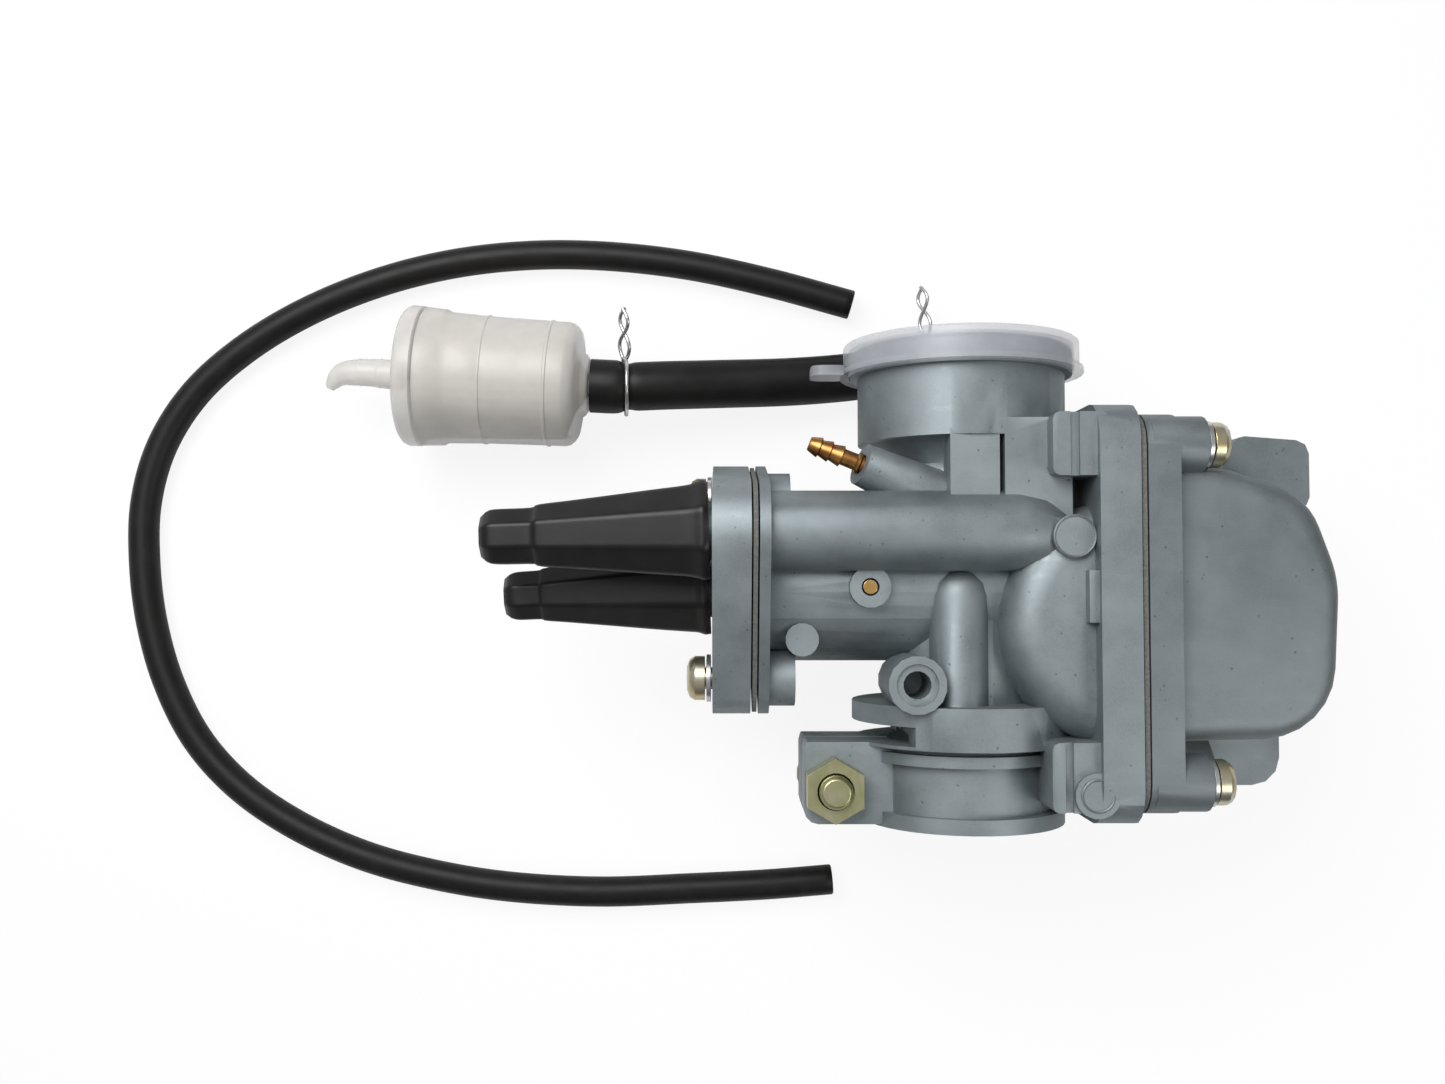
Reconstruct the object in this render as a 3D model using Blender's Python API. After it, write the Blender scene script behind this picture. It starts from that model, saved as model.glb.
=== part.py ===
"""A slide-type motorcycle carburetor lying on its side, with its fuel hose, in-line filter and vent hose.

Sizes are in millimetres and are turned into metres by the shape functions. The working frame has
its origin where the bore axis (along Y, air inlet at +Y) crosses the slide axis (along X, cables at
-X, float bowl at +X); +Z points up from the table. An empty carries the whole assembly to its
resting place on the table.
"""

import math

import bmesh
import bpy
from mathutils import Matrix, Vector

MM = 0.001
GAP = 0.3  # clearance between neighbouring pieces

# Where the assembly stands in the world
CENTRE_X = 12.27
CENTRE_Y = -3.68
REST_HEIGHT = 36.0  # bore axis above the table

# Bore, bell and outlet
BORE_R = 10.0
BELL_R = 19.2
BELL_START = 26.4
BELL_END = 44.0
BELL_LIP_R = 20.6
BELL_LIP = 5.0
BELL_MOUTH_R = 16.8
FLARE_START = 12.0
NECK_R = 12.9
SOCKET_R = 14.0
SOCKET_DEEP = -27.0
COLLAR_R = 20.5
COLLAR_TOP = -21.3
COLLAR_END = -28.8
BAND_R = 16.8
RIB_R = 18.6
OUTLET_END = -43.3
LIP_R = 18.5
SLIT = 2.0
SAW_CUT = (-28.2, -24.8)
SAW_DEPTH_X = -11.2

# Throttle slide and its chamber
SLIDE_R = 11.5
SLIDE_LENGTH = 26.0
SLIDE_WALL = 1.4
SLIDE_FLOOR = 6.5
SLIDE_BOTTOM = BORE_R + 0.5
SLIDE_TRAVEL = 20.0
CHAMBER_WALL = 2.2
CHAMBER_TOP = -38.4
CAP_FLANGE = 1.9
NEEDLE_R = 1.2
NEEDLE_LENGTH = 42.0
JET_R = 3.4

# Choke (starter) plunger and its tube
CHOKE_Y = 9.6
CHOKE_Z = 15.2
CHOKE_TUBE_R = 7.1
CHOKE_TUBE_END = 7.0
PLUNGER_R = 4.0
PLUNGER_TOP = -14.0
PLUNGER_LENGTH = 16.0
CHOKE_TRAVEL = 10.0

# Top cap, gasket, screws and boots
GASKET = 0.8
CAP_THICK = 6.8
CAP_SCREWS = ((16.8, -7.7), (-16.8, 7.7))
CAP_EAR_R = 6.4
CAP_RIM_R = 15.8
M4_R = 2.0
HEAD_R = 4.0
HEAD_H = 3.2
WASHER_H = 0.8
WASHER_R = 4.3
THROTTLE_BOOT = 38.0
THROTTLE_BOOT_SHAPE = ((0, 9.2), (0.1, 8.9), (0.5, 6.8), (0.8, 5.1), (0.82, 4.8), (1, 4.5))
CHOKE_BOOT = 40.0
CHOKE_BOOT_SHAPE = ((0, 8.5), (0.1, 8.3), (0.42, 7.0), (0.745, 5.7), (0.79, 5.15), (1, 5.0))
BOOT_WELL = 17.5  # depth of a boot's wide inside, over the neck and the adjuster
ADJUSTER_LENGTH = 14.0
ADJUSTER_R = 3.0
GUIDE_R = 2.6
THROTTLE_NECK_R = 6.0
CHOKE_NECK_R = 5.2
NECK_H = 4.5
CABLE_R = 1.1

# Float chamber
FLANGE_TOP = 19.4
FLOAT_FACE = 26.4
FLANGE_LOW_Y = -41.2
FLANGE_HIGH_Y = 31.6
FLANGE_HALF_Z = 24.0
BOWL_LOW_Y = -39.5
BOWL_HIGH_Y = 29.9
BOWL_FLANGE = 5.6
LUG_H = 5.1
BOWL_SCREW_Y = (-34.0, 24.4)
BOWL_SCREW_Z = 18.4
BOWL_HALF_Z = 20.0
BOWL_WALL = 2.0
BOWL_EDGE = 3.5  # rounding of the bowl's two side faces
BOWL_FLOOR = 62.8
DOME_X = 26.0
DOME_Y = -6.7
DOME_R = 21.9
DOME_LOW_Z = -17.0
DOME_HIGH_Z = 20.4
DOME_EDGE = 6.5  # rounding of the dome's rim
POST_X = -2.6
POST_Z = 11.4
POST_R = 5.2
POST_LENGTH = 20.5
TOWER_R = 6.5
TOWER_END = 48.0
PIN_X = 32.0
PIN_Y = 15.0
PIN_R = 1.0
PIN_HALF = 11.0
VALVE_Y = 9.5
SEAT_R = 3.2
PILOT_Y = -11.5
LOBE_IN = 7.6
LOBE_OUT = 16.0

# Clamp
CLAMP_X = -24.8
CLAMP_Y = -36.4
EAR_H = 8.0
M6_R = 3.0
NUT_R = 5.75
NUT_H = 4.6

# Side fittings
IDLE_X = -14.0
IDLE_Y = -8.0
IDLE_BOSS_Z = -19.0
IDLE_SHORT = 2.04  # how far the idle screw's tip stays off the slide
AIR_SCREW_X = 11.2
AIR_SCREW_Z = 8.5
AIR_BLOCK_TOP = 29.3
DRAIN_X = 50.0
DRAIN_Y = -18.0
DRAIN_BOSS_Z = -29.0
NIPPLE_BASE = (-20.2, 21.5, 14.0)
NIPPLE_TIP = (-29.4, 25.2, 14.0)
NIPPLE_ROOT = 5.0
PLUG_X = -18.8
PLUG_Y = -0.3
INLET_X = 12.0
INLET_Y = 33.0
INLET_Z = -29.6
INLET_R = 2.6

# Dust cap
CAP_WALL = 1.0
CAP_DEPTH = 5.0
CAP_FLANGE_R = 22.7

# Hoses and filter
HOSE_R = 5.0
VENT_HOSE_R = 3.1
HOSE_ROUTE = (
    (2.0, 47.5, -29.6), (-6.0, 46.6, -29.5), (-16.0, 44.4, -28.7), (-30.0, 42.9, -27.0),
    (-45.0, 42.1, -25.0), (-56.0, 41.5, -23.0), (-65.5, 41.0, -21.9), (-71.9, 41.2, -21.7),
)
VENT_HOSE_ROUTE = (
    (-17.1, 60.4), (-34.5, 65.2), (-52.0, 69.0), (-69.4, 71.0), (-86.0, 71.2), (-102.5, 69.4),
    (-118.4, 65.4), (-133.4, 59.3), (-146.6, 51.4), (-157.4, 41.8), (-164.6, 30.5), (-168.0, 18.0),
    (-168.1, 5.0), (-166.3, -8.0), (-162.4, -20.8), (-156.0, -32.8), (-146.6, -42.8), (-134.5, -50.8),
    (-120.5, -57.0), (-105.5, -61.0), (-89.5, -63.5), (-70.6, -64.5), (-51.6, -63.8), (-35.5, -63.0),
    (-21.7, -61.9),
)
FILTER_AXIS = (-1.0, 0.055, 0.0)
FILTER_R = 14.2
FILTER_SHOULDER_R = 12.7
CUP_LENGTH = 33.5
SPOUT_R = 3.1
CLIP_WIRE_R = 0.5


def clear_scene():
    for old in list(bpy.data.objects):
        bpy.data.objects.remove(old, do_unlink=True)


# ---------------------------------------------------------------- shape functions


def add_object(name, points, faces):
    """A mesh object from points in millimetres, with its faces turned outwards."""
    mesh = bpy.data.meshes.new(name)
    mesh.from_pydata([Vector(p) * MM for p in points], [], faces)
    build = bmesh.new()
    build.from_mesh(mesh)
    bmesh.ops.recalc_face_normals(build, faces=build.faces)
    build.to_mesh(mesh)
    build.free()
    made = bpy.data.objects.new(name, mesh)
    bpy.context.scene.collection.objects.link(made)
    return made


def frame_along(direction):
    """Rotation that takes +Z to the direction."""
    return Vector((0, 0, 1)).rotation_difference(Vector(direction).normalized()).to_matrix()


def turned(name, start, direction, profile, sides=16, closed=False):
    """A profile of (distance along the axis, radius) turned about an axis through start.

    An open profile ends in flat discs; a closed one makes a ring.
    """
    turn = frame_along(direction)
    points, faces = [], []
    for along, radius in profile:
        for i in range(sides):
            angle = math.tau * (i + 0.5) / sides
            spoke = Vector((radius * math.cos(angle), radius * math.sin(angle), along))
            points.append(Vector(start) + turn @ spoke)
    rows = len(profile)
    for row in range(rows if closed else rows - 1):
        here, above = row * sides, (row + 1) % rows * sides
        for i in range(sides):
            j = (i + 1) % sides
            faces.append((here + i, here + j, above + j, above + i))
    if not closed:
        faces.append(tuple(range(sides)))
        faces.append(tuple(range((rows - 1) * sides, rows * sides)))
    return add_object(name, points, faces)


def rod(name, start, end, radius, sides=16, end_radius=None):
    """A straight round bar, or a cone when end_radius is given."""
    along = Vector(end) - Vector(start)
    last = radius if end_radius is None else end_radius
    return turned(name, start, along, ((0, radius), (along.length, last)), sides)


def tube(name, start, end, outer, inner, sides=16):
    length = (Vector(end) - Vector(start)).length
    profile = ((0, inner), (0, outer), (length, outer), (length, inner))
    return turned(name, start, Vector(end) - Vector(start), profile, sides, closed=True)


def plate(name, axis, low, high, outline):
    """An outline drawn across an axis, pushed from low to high along it."""
    order = {"X": (2, 0, 1), "Y": (0, 2, 1), "Z": (0, 1, 2)}[axis]
    count = len(outline)
    points = [tuple((a, b, c)[k] for k in order) for c in (low, high) for a, b in outline]
    faces = [(i, (i + 1) % count, (i + 1) % count + count, i + count) for i in range(count)]
    faces += [tuple(range(count)), tuple(range(count, 2 * count))]
    return add_object(name, points, faces)


def block(name, low, high):
    outline = ((low[0], low[1]), (high[0], low[1]), (high[0], high[1]), (low[0], high[1]))
    return plate(name, "Z", low[2], high[2], outline)


def rounded(corners, steps=4):
    """An outline through corners of (a, b, radius), each rounded by its own radius."""
    outline = []
    count = len(corners)
    for i, (a, b, radius) in enumerate(corners):
        here = Vector((a, b))
        before = (Vector(corners[i - 1][:2]) - here).normalized()
        after = (Vector(corners[(i + 1) % count][:2]) - here).normalized()
        if radius == 0:
            outline.append(tuple(here))
            continue
        half = before.angle(after) / 2
        reach = radius / math.tan(half)
        first, last = here + before * reach, here + after * reach
        centre = here + (before + after).normalized() * (radius / math.sin(half))
        turn = (first - centre).angle_signed(last - centre)
        for step in range(steps + 1):
            angle = -turn * step / steps
            spoke = Matrix.Rotation(angle, 2) @ (first - centre)
            outline.append(tuple(centre + spoke))
    return outline


def softened(name, low, high, edge, outline):
    """A plate across z whose two rims are rounded; outline(inset) gives the outline at an inset."""
    insets = [edge * (1 - math.sin(math.radians(angle))) for angle in (0, 18, 36, 54, 72, 90)]
    heights = [edge * (1 - math.cos(math.radians(angle))) for angle in (0, 18, 36, 54, 72, 90)]
    layers = [(low + rise, outline(inset)) for rise, inset in zip(heights, insets)]
    layers += [(high - rise, outline(inset)) for rise, inset in reversed(list(zip(heights, insets)))]
    count = len(layers[0][1])
    points = [(a, b, z) for z, ring in layers for a, b in ring]
    faces = [tuple(range(count)), tuple(range((len(layers) - 1) * count, len(layers) * count))]
    for row in range(len(layers) - 1):
        here, above = row * count, (row + 1) * count
        for i in range(count):
            j = (i + 1) % count
            faces.append((here + i, here + j, above + j, above + i))
    return add_object(name, points, faces)


def rectangle(low_a, low_b, high_a, high_b, radius, steps=4):
    corners = ((low_a, low_b), (high_a, low_b), (high_a, high_b), (low_a, high_b))
    return rounded([(a, b, radius) for a, b in corners], steps)


def arc(centre_a, centre_b, radius, start, end, steps):
    """Points on a circular arc, with its angles in degrees."""
    span = [math.radians(start + (end - start) * i / steps) for i in range(steps + 1)]
    return [(centre_a + radius * math.cos(t), centre_b + radius * math.sin(t)) for t in span]


def combine(base, add=(), cut=()):
    """Joins the added shapes to the base, then takes the cutters away from it."""
    for operation, operands in (("UNION", add), ("DIFFERENCE", cut)):
        for operand in operands:
            operand.hide_render = True
            operand.display_type = "WIRE"
            step = base.modifiers.new(operand.name, "BOOLEAN")
            step.operation = operation
            step.solver = "EXACT"
            step.object = operand
    return base


def smooth_route(points, spacing):
    """Points along a Catmull-Rom curve through the route, about spacing apart."""
    route = [Vector(p) for p in points]
    padded = [2 * route[0] - route[1], *route, 2 * route[-1] - route[-2]]
    fine = []
    for a, b, c, d in zip(padded, padded[1:], padded[2:], padded[3:]):
        for i in range(24):
            t = i / 24
            square, cube = 2 * a - 5 * b + 4 * c - d, 3 * b - a - 3 * c + d
            fine.append(0.5 * (2 * b + (c - a) * t + square * t**2 + cube * t**3))
    fine.append(route[-1])
    lengths = [0.0]
    for here, after in zip(fine, fine[1:]):
        lengths.append(lengths[-1] + (after - here).length)
    count = max(2, round(lengths[-1] / spacing))
    picked, j = [], 0
    for i in range(count + 1):
        want = lengths[-1] * i / count
        while j < len(lengths) - 2 and lengths[j + 1] < want:
            j += 1
        share = (want - lengths[j]) / max(lengths[j + 1] - lengths[j], 1e-9)
        picked.append(fine[j].lerp(fine[j + 1], min(max(share, 0), 1)))
    return picked


def tube_curve(name, points, radius, resolution):
    """A solid round cord through the points."""
    curve = bpy.data.curves.new(name, "CURVE")
    curve.dimensions = "3D"
    curve.bevel_depth = radius * MM
    curve.bevel_resolution = resolution
    curve.use_fill_caps = True
    curve.render_resolution_u = 0
    spline = curve.splines.new("POLY")
    spline.points.add(len(points) - 1)
    for point, place in zip(spline.points, points):
        point.co = (*(Vector(place) * MM), 1.0)
    made = bpy.data.objects.new(name, curve)
    bpy.context.scene.collection.objects.link(made)
    return made


def spring(name, start, direction, length, radius, wire, turns, per_turn=10):
    """A coil spring: a helix of round wire about its axis."""
    turn = frame_along(direction)
    count = round(turns * per_turn)
    points = []
    for i in range(count + 1):
        angle = math.tau * turns * i / count
        along = wire + (length - 2 * wire) * i / count
        spoke = Vector((radius * math.cos(angle), radius * math.sin(angle), along))
        points.append(Vector(start) + turn @ spoke)
    return tube_curve(name, points, wire, 1)


def hexagon(name, start, direction, height, across_corners):
    return turned(name, start, direction, ((0, across_corners), (height, across_corners)), 6)


def pan_head(name, start, direction, shank, shank_r=M4_R, head_r=HEAD_R, head_h=HEAD_H, slot=0.9):
    """A pan head screw: the head stands at start and the shank runs the other way."""
    profile = (
        (-shank, shank_r * 0.8), (-shank + 0.6, shank_r), (0, shank_r), (0, head_r),
        (head_h * 0.55, head_r), (head_h * 0.85, head_r * 0.86), (head_h, head_r * 0.55),
    )
    screw = turned(name, start, direction, profile, 14)
    turn = frame_along(direction)
    for i, (wide, long) in enumerate(((slot, head_r), (head_r, slot))):
        corners = [
            turn @ Vector((a * wide / 2, b * long / 2, c)) + Vector(start)
            for c in (head_h * 0.55, head_h * 2)
            for a, b in ((-1, -1), (1, -1), (1, 1), (-1, 1))
        ]
        faces = ((0, 1, 2, 3), (4, 5, 6, 7), (0, 1, 5, 4), (1, 2, 6, 5), (2, 3, 7, 6), (3, 0, 4, 7))
        combine(screw, cut=[add_object(f"{name}_slot_{i}", corners, faces)])
    return screw


# ---------------------------------------------------------------- carburetor body


def cap_outline(grow=0.0):
    """Outline across X shared by the cap, its gasket and the body's top flange, as (y, z) points.

    It is the hull of the chamber circle, the choke circle and the two screw ears.
    """
    circles = [(0, 0, CAP_RIM_R), (CHOKE_Y, CHOKE_Z, CHOKE_TUBE_R + 2.2)]
    circles += [(y, z, CAP_EAR_R) for y, z in CAP_SCREWS]
    points = []
    for a, b, radius in circles:
        points += arc(a, b, radius + grow, 0, 340, 17)
    points.sort()
    hull = []
    for side in (points, points[::-1]):
        part = []
        for p in side:
            while len(part) > 1 and turn_of(part[-2], part[-1], p) <= 0:
                part.pop()
            part.append(p)
        hull += part[:-1]
    return hull


def turn_of(a, b, c):
    return (b[0] - a[0]) * (c[1] - a[1]) - (b[1] - a[1]) * (c[0] - a[0])


def body_solids():
    tube_length = CHOKE_TUBE_END - CHAMBER_TOP - 1
    post = Vector((POST_X, COLLAR_TOP - 1, POST_Z))
    shapes = [
        plate("add_cap_flange", "X", CHAMBER_TOP, CHAMBER_TOP + CAP_FLANGE, cap_outline()),
        turned("add_choke_tube", (CHAMBER_TOP + 1, CHOKE_Y, CHOKE_Z), (1, 0, 0), (
            (0, CHOKE_TUBE_R), (tube_length, CHOKE_TUBE_R), (tube_length + 4.5, CHOKE_TUBE_R - 0.9),
            (tube_length + 8.0, CHOKE_TUBE_R - 2.8),
        ), 24),
        turned("add_bell", (0, 0, 0), (0, 1, 0), (
            (4, NECK_R), (BELL_START - 4.4, NECK_R), (BELL_START - 3.0, NECK_R + 0.7),
            (BELL_START - 1.2, NECK_R + 2.1), (BELL_START, NECK_R + 3.7), (BELL_START, BELL_R),
            (BELL_END - BELL_LIP, BELL_R),
            (BELL_END - BELL_LIP, BELL_LIP_R), (BELL_END - 0.8, BELL_LIP_R), (BELL_END, BELL_LIP_R - 0.8),
        ), 36),
        turned("add_outlet", (0, 0, 0), (0, -1, 0), (
            (4, NECK_R), (-COLLAR_TOP, NECK_R), (-COLLAR_TOP, COLLAR_R), (-COLLAR_END, COLLAR_R),
            (-COLLAR_END, BAND_R), (29.8, BAND_R), (29.8, RIB_R), (31.8, RIB_R), (31.8, BAND_R),
            (40.6, BAND_R), (40.6, LIP_R), (-OUTLET_END, LIP_R),
        ), 36),
        plate("add_float_flange", "X", FLANGE_TOP, FLOAT_FACE,
              rectangle(FLANGE_LOW_Y, -FLANGE_HALF_Z, FLANGE_HIGH_Y, FLANGE_HALF_Z, 6.5)),
        softened("add_dome", DOME_LOW_Z, DOME_HIGH_Z, DOME_EDGE,
                 lambda inset: arc(DOME_X, DOME_Y, DOME_R - inset, 105, 255, 18)),
        rod("add_dome_pin", (15.7, 8.4, 12), (15.7, 8.4, DOME_HIGH_Z - 0.6), 3.6, 20),
        turned("add_post", post, (0, 1, 0), (
            (0, POST_R), (POST_LENGTH, POST_R), (POST_LENGTH + 2.2, POST_R * 0.9),
            (POST_LENGTH + 4.0, POST_R * 0.62), (POST_LENGTH + 5.0, POST_R * 0.2),
        ), 24),
        rod("add_hole_boss", (-11.1, -17.3, 4), (-11.1, -17.3, 19.5), 5.1),
        rod("add_plug_boss", (PLUG_X, PLUG_Y, 9), (PLUG_X, PLUG_Y, 16), 3.7),
        rod("add_flat_boss", (-30.6, -9.7, 4), (-30.6, -9.7, 12.5), 3.0),
        plate("add_bell_rib", "Z", 8, 18.6,
              ((-5.1, 10), (3.5, 10), (3.5, BELL_START + 1), (-5.1, BELL_START + 1))),
        rod("add_vent_boss", (-3.0, 14.5, 9.0), NIPPLE_BASE, 5.4, 24, 3.8),
        block("add_air_block", (4.4, 9.4, 1.5), (16.1, AIR_BLOCK_TOP, 18.6)),
        plate("add_upper_lug", "Z", 11, 22.5, rectangle(11.8, 18.8, FLANGE_TOP + 2, 29.8, 1.2, 2)),
        plate("add_lower_lug", "Z", 9, 22.5, rectangle(11.2, -38.7, FLANGE_TOP + 2, -26.8, 1.2, 2)),
        rod("add_round_boss", (18.6, -35.6, 10), (18.6, -35.6, 23.6), 3.9),
        block("add_tab", (17.7, -6.4, 15), (FLANGE_TOP + 1, 2.5, 22.8)),
        plate("add_inlet_housing", "Z", -REST_HEIGHT + 0.1, -11,
              rectangle(5.5, 19.0, FLANGE_TOP + 2, INLET_Y, 2.0, 2)),
        rod("add_idle_boss", (IDLE_X, IDLE_Y, -7), (IDLE_X, IDLE_Y, IDLE_BOSS_Z), 4.6),
        rod("add_tower", (FLOAT_FACE - 2, 0, 0), (TOWER_END, 0, 0), TOWER_R, 28),
        rod("add_seat_boss", (FLOAT_FACE - 2, VALVE_Y, 0), (FLOAT_FACE + 1.5, VALVE_Y, 0), SEAT_R + 1.6),
        rod("add_pilot_tower", (FLOAT_FACE - 2, PILOT_Y, 0), (38, PILOT_Y, 0), 3.8),
    ]
    for y, z in CAP_SCREWS:
        shapes.append(rod(f"add_cap_post_{y:.0f}", (CHAMBER_TOP + 1, y, z), (-31.8, y, z), 5.0))
    for side in (-1, 1):
        ear = rectangle(CLAMP_X - 5.3, OUTLET_END + 0.4, -9.5, -27.2, 2.5, 3)
        shapes.append(plate(f"add_ear_{side}", "Z", *sorted((0.5 * side, (SLIT / 2 + EAR_H) * side)), ear))
        low, high = sorted((7.4 * side, 10.4 * side))
        shapes.append(block(f"add_pin_post_{side}", (FLOAT_FACE - 1, PIN_Y - 2.7, low),
                            (PIN_X + 2.2, PIN_Y + 2.5, high)))
    return shapes


def nipple_root(depth):
    """The point on the vent nipple's axis that lies depth inside its boss."""
    base, tip = Vector(NIPPLE_BASE), Vector(NIPPLE_TIP)
    return base - (tip - base).normalized() * depth


def body_cutters():
    chamber_inner = SLIDE_R + GAP
    flare = BELL_END + 0.5 - FLARE_START
    widening = BELL_MOUTH_R - BORE_R
    mouth = [(FLARE_START + flare * t / 6, BORE_R + widening * (t / 6) ** 2.2) for t in range(7)]
    shapes = [
        turned("cut_bore", (0, 0, 0), (0, 1, 0), (
            (OUTLET_END - 1, SOCKET_R), (SOCKET_DEEP, SOCKET_R), (SOCKET_DEEP, BORE_R), *mouth,
            (BELL_END + 2, BELL_MOUTH_R),
        ), 36),
        rod("cut_chamber", (CHAMBER_TOP - 2, 0, 0), (SLIDE_BOTTOM + GAP, 0, 0), chamber_inner, 32),
        rod("cut_choke", (CHAMBER_TOP - 2, CHOKE_Y, CHOKE_Z),
            (PLUNGER_TOP + PLUNGER_LENGTH + GAP, CHOKE_Y, CHOKE_Z), PLUNGER_R + GAP),
        rod("cut_needle_jet", (5, 0, 0), (TOWER_END + 2, 0, 0), JET_R + GAP),
        rod("cut_seat", (13, VALVE_Y, 0), (FLOAT_FACE + 4, VALVE_Y, 0), SEAT_R + GAP),
        rod("cut_pilot", (30, PILOT_Y, 0), (42, PILOT_Y, 0), 2.0 + GAP, 16),
        block("cut_slit", (-40, OUTLET_END - 2, -SLIT / 2), (-10, SAW_CUT[1] - 0.5, SLIT / 2)),
        block("cut_saw", (-30, SAW_CUT[0], -25), (SAW_DEPTH_X, SAW_CUT[1], 25)),
        rod("cut_hole", (-11.1, -17.3, 8), (-11.1, -17.3, 22), 2.45, 16),
        rod("cut_hole_step", (-11.1, -17.3, 18.8), (-11.1, -17.3, 22), 3.7, 20),
        rod("cut_plug", (PLUG_X, PLUG_Y, 13), (PLUG_X, PLUG_Y, 18), 1.3 + GAP, 16),
        rod("cut_clamp", (CLAMP_X, CLAMP_Y, -20), (CLAMP_X, CLAMP_Y, 20), M6_R + GAP),
        rod("cut_idle", (IDLE_X, IDLE_Y, -5), (IDLE_X, IDLE_Y, IDLE_BOSS_Z - 2), 2.0 + GAP, 16),
        rod("cut_air", (AIR_SCREW_X, 16, AIR_SCREW_Z),
            (AIR_SCREW_X, AIR_BLOCK_TOP + 2, AIR_SCREW_Z), 3.2, 20),
        rod("cut_inlet", (INLET_X, 24, INLET_Z), (INLET_X, INLET_Y + 2, INLET_Z), INLET_R + GAP, 16),
        rod("cut_vent", nipple_root(NIPPLE_ROOT + GAP), nipple_root(-2.0), 1.5 + GAP, 16),
        block("cut_lug_groove", (14.8, 18, 21.7), (16.4, 31, 24)),
        block("cut_low_groove", (13.4, -40, 21.7), (14.8, -26, 24)),
        rod("cut_pin", (PIN_X, PIN_Y, -PIN_HALF - 2), (PIN_X, PIN_Y, PIN_HALF + 2), PIN_R + GAP, 16),
    ]
    for y in BOWL_SCREW_Y:
        for z in (-BOWL_SCREW_Z, BOWL_SCREW_Z):
            shapes.append(rod(f"cut_bowl_screw_{y:.0f}_{z:.0f}", (15, y, z), (FLOAT_FACE + 3, y, z),
                              M4_R + GAP, 12))
    for y, z in CAP_SCREWS:
        shapes.append(rod(f"cut_cap_screw_{y:.0f}", (CHAMBER_TOP - 3, y, z), (-34, y, z), M4_R + GAP, 12))
    for side in (-1, 1):
        low, high = sorted((7.5 * side, 14.5 * side))
        shapes.append(block(f"cut_float_room_{side}", (14.5, -20, low), (FLOAT_FACE + 1, 5, high)))
    return shapes


def make_body():
    chamber_r = SLIDE_R + GAP + CHAMBER_WALL
    body = rod("carburetor_body", (CHAMBER_TOP + 1, 0, 0), (FLANGE_TOP + 1, 0, 0), chamber_r, 36)
    combine(body, body_solids(), body_cutters())


# ---------------------------------------------------------------- top cap and boots


def cap_stations():
    """The x of the gasket's and the cap's two faces."""
    gasket_low = CHAMBER_TOP - GAP
    cap_low = gasket_low - GASKET - GAP
    return gasket_low, gasket_low - GASKET, cap_low, cap_low - CAP_THICK


def make_top_cap():
    gasket_low, gasket_high, cap_low, cap_high = cap_stations()
    gasket = plate("top_cap_gasket", "X", gasket_high, gasket_low, cap_outline(-0.3))
    cap = plate("top_cap", "X", cap_high, cap_low, cap_outline())
    boss = rod("add_throttle_neck", (cap_low - 1, 0, 0), (cap_high - NECK_H, 0, 0), THROTTLE_NECK_R)
    choke_boss = rod("add_choke_neck", (cap_low - 1, CHOKE_Y, CHOKE_Z),
                     (cap_high - NECK_H, CHOKE_Y, CHOKE_Z), CHOKE_NECK_R)
    holes = []
    for i, target in enumerate((gasket, cap)):
        cuts = [rod(f"cut_main_{i}", (-70, 0, 0), (-36, 0, 0), (SLIDE_R + GAP, ADJUSTER_R + GAP)[i], 32)]
        cuts.append(rod(f"cut_starter_{i}", (-70, CHOKE_Y, CHOKE_Z), (-36, CHOKE_Y, CHOKE_Z),
                        (PLUNGER_R + GAP, GUIDE_R + GAP)[i], 20))
        for y, z in CAP_SCREWS:
            cuts.append(rod(f"cut_ear_{i}_{y:.0f}", (-60, y, z), (-36, y, z), M4_R + GAP, 12))
        combine(target, (boss, choke_boss) if target is cap else (), cuts)
    for number, (y, z) in enumerate(CAP_SCREWS, 1):
        washer_low = cap_high - GAP
        tube(f"top_cap_washer_{number}", (washer_low, y, z), (washer_low - WASHER_H, y, z),
             WASHER_R, M4_R + GAP, 14)
        pan_head(f"top_cap_screw_{number}", (washer_low - WASHER_H - GAP, y, z), (-1, 0, 0), 12.8)
    make_boot("throttle_boot", (cap_high - GAP - 0.5, 0, 0), (-1, -0.055, 0), THROTTLE_NECK_R, ADJUSTER_R,
              [(THROTTLE_BOOT * share, r) for share, r in THROTTLE_BOOT_SHAPE])
    make_boot("choke_boot", (cap_high - GAP - 0.3, CHOKE_Y, CHOKE_Z), (-1, -0.03, 0), CHOKE_NECK_R, GUIDE_R,
              [(CHOKE_BOOT * share, r) for share, r in CHOKE_BOOT_SHAPE])
    for name, y, z, radius in (("throttle_cable_adjuster", 0, 0, ADJUSTER_R),
                               ("choke_cable_guide", CHOKE_Y, CHOKE_Z, GUIDE_R)):
        tube(name, (cap_low + 0.2, y, z), (cap_high - ADJUSTER_LENGTH, y, z), radius, CABLE_R, 16)


def make_boot(name, base, direction, neck_r, adjuster_r, outer):
    """A hollow rubber boot over a cap neck, narrowing to a sleeve for the cable's housing."""
    sleeve_r = CABLE_R + 1.0
    inner = [(outer[-1][0], sleeve_r), (BOOT_WELL, sleeve_r), (BOOT_WELL - 2.5, adjuster_r + 2 * GAP)]
    inner += [(NECK_H + 0.7, neck_r + GAP), (0, neck_r + GAP)]
    turned(name, base, direction, outer + inner, 16, closed=True)


# ---------------------------------------------------------------- throttle and choke


def moving_parent(name, place, children):
    """An empty on the joint's axis that carries a moving piece."""
    empty = bpy.data.objects.new(name, None)
    empty.location = Vector(place) * MM
    bpy.context.scene.collection.objects.link(empty)
    for child in children:
        child.parent = empty
        child.matrix_parent_inverse = Matrix.Translation(-empty.location)


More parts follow.
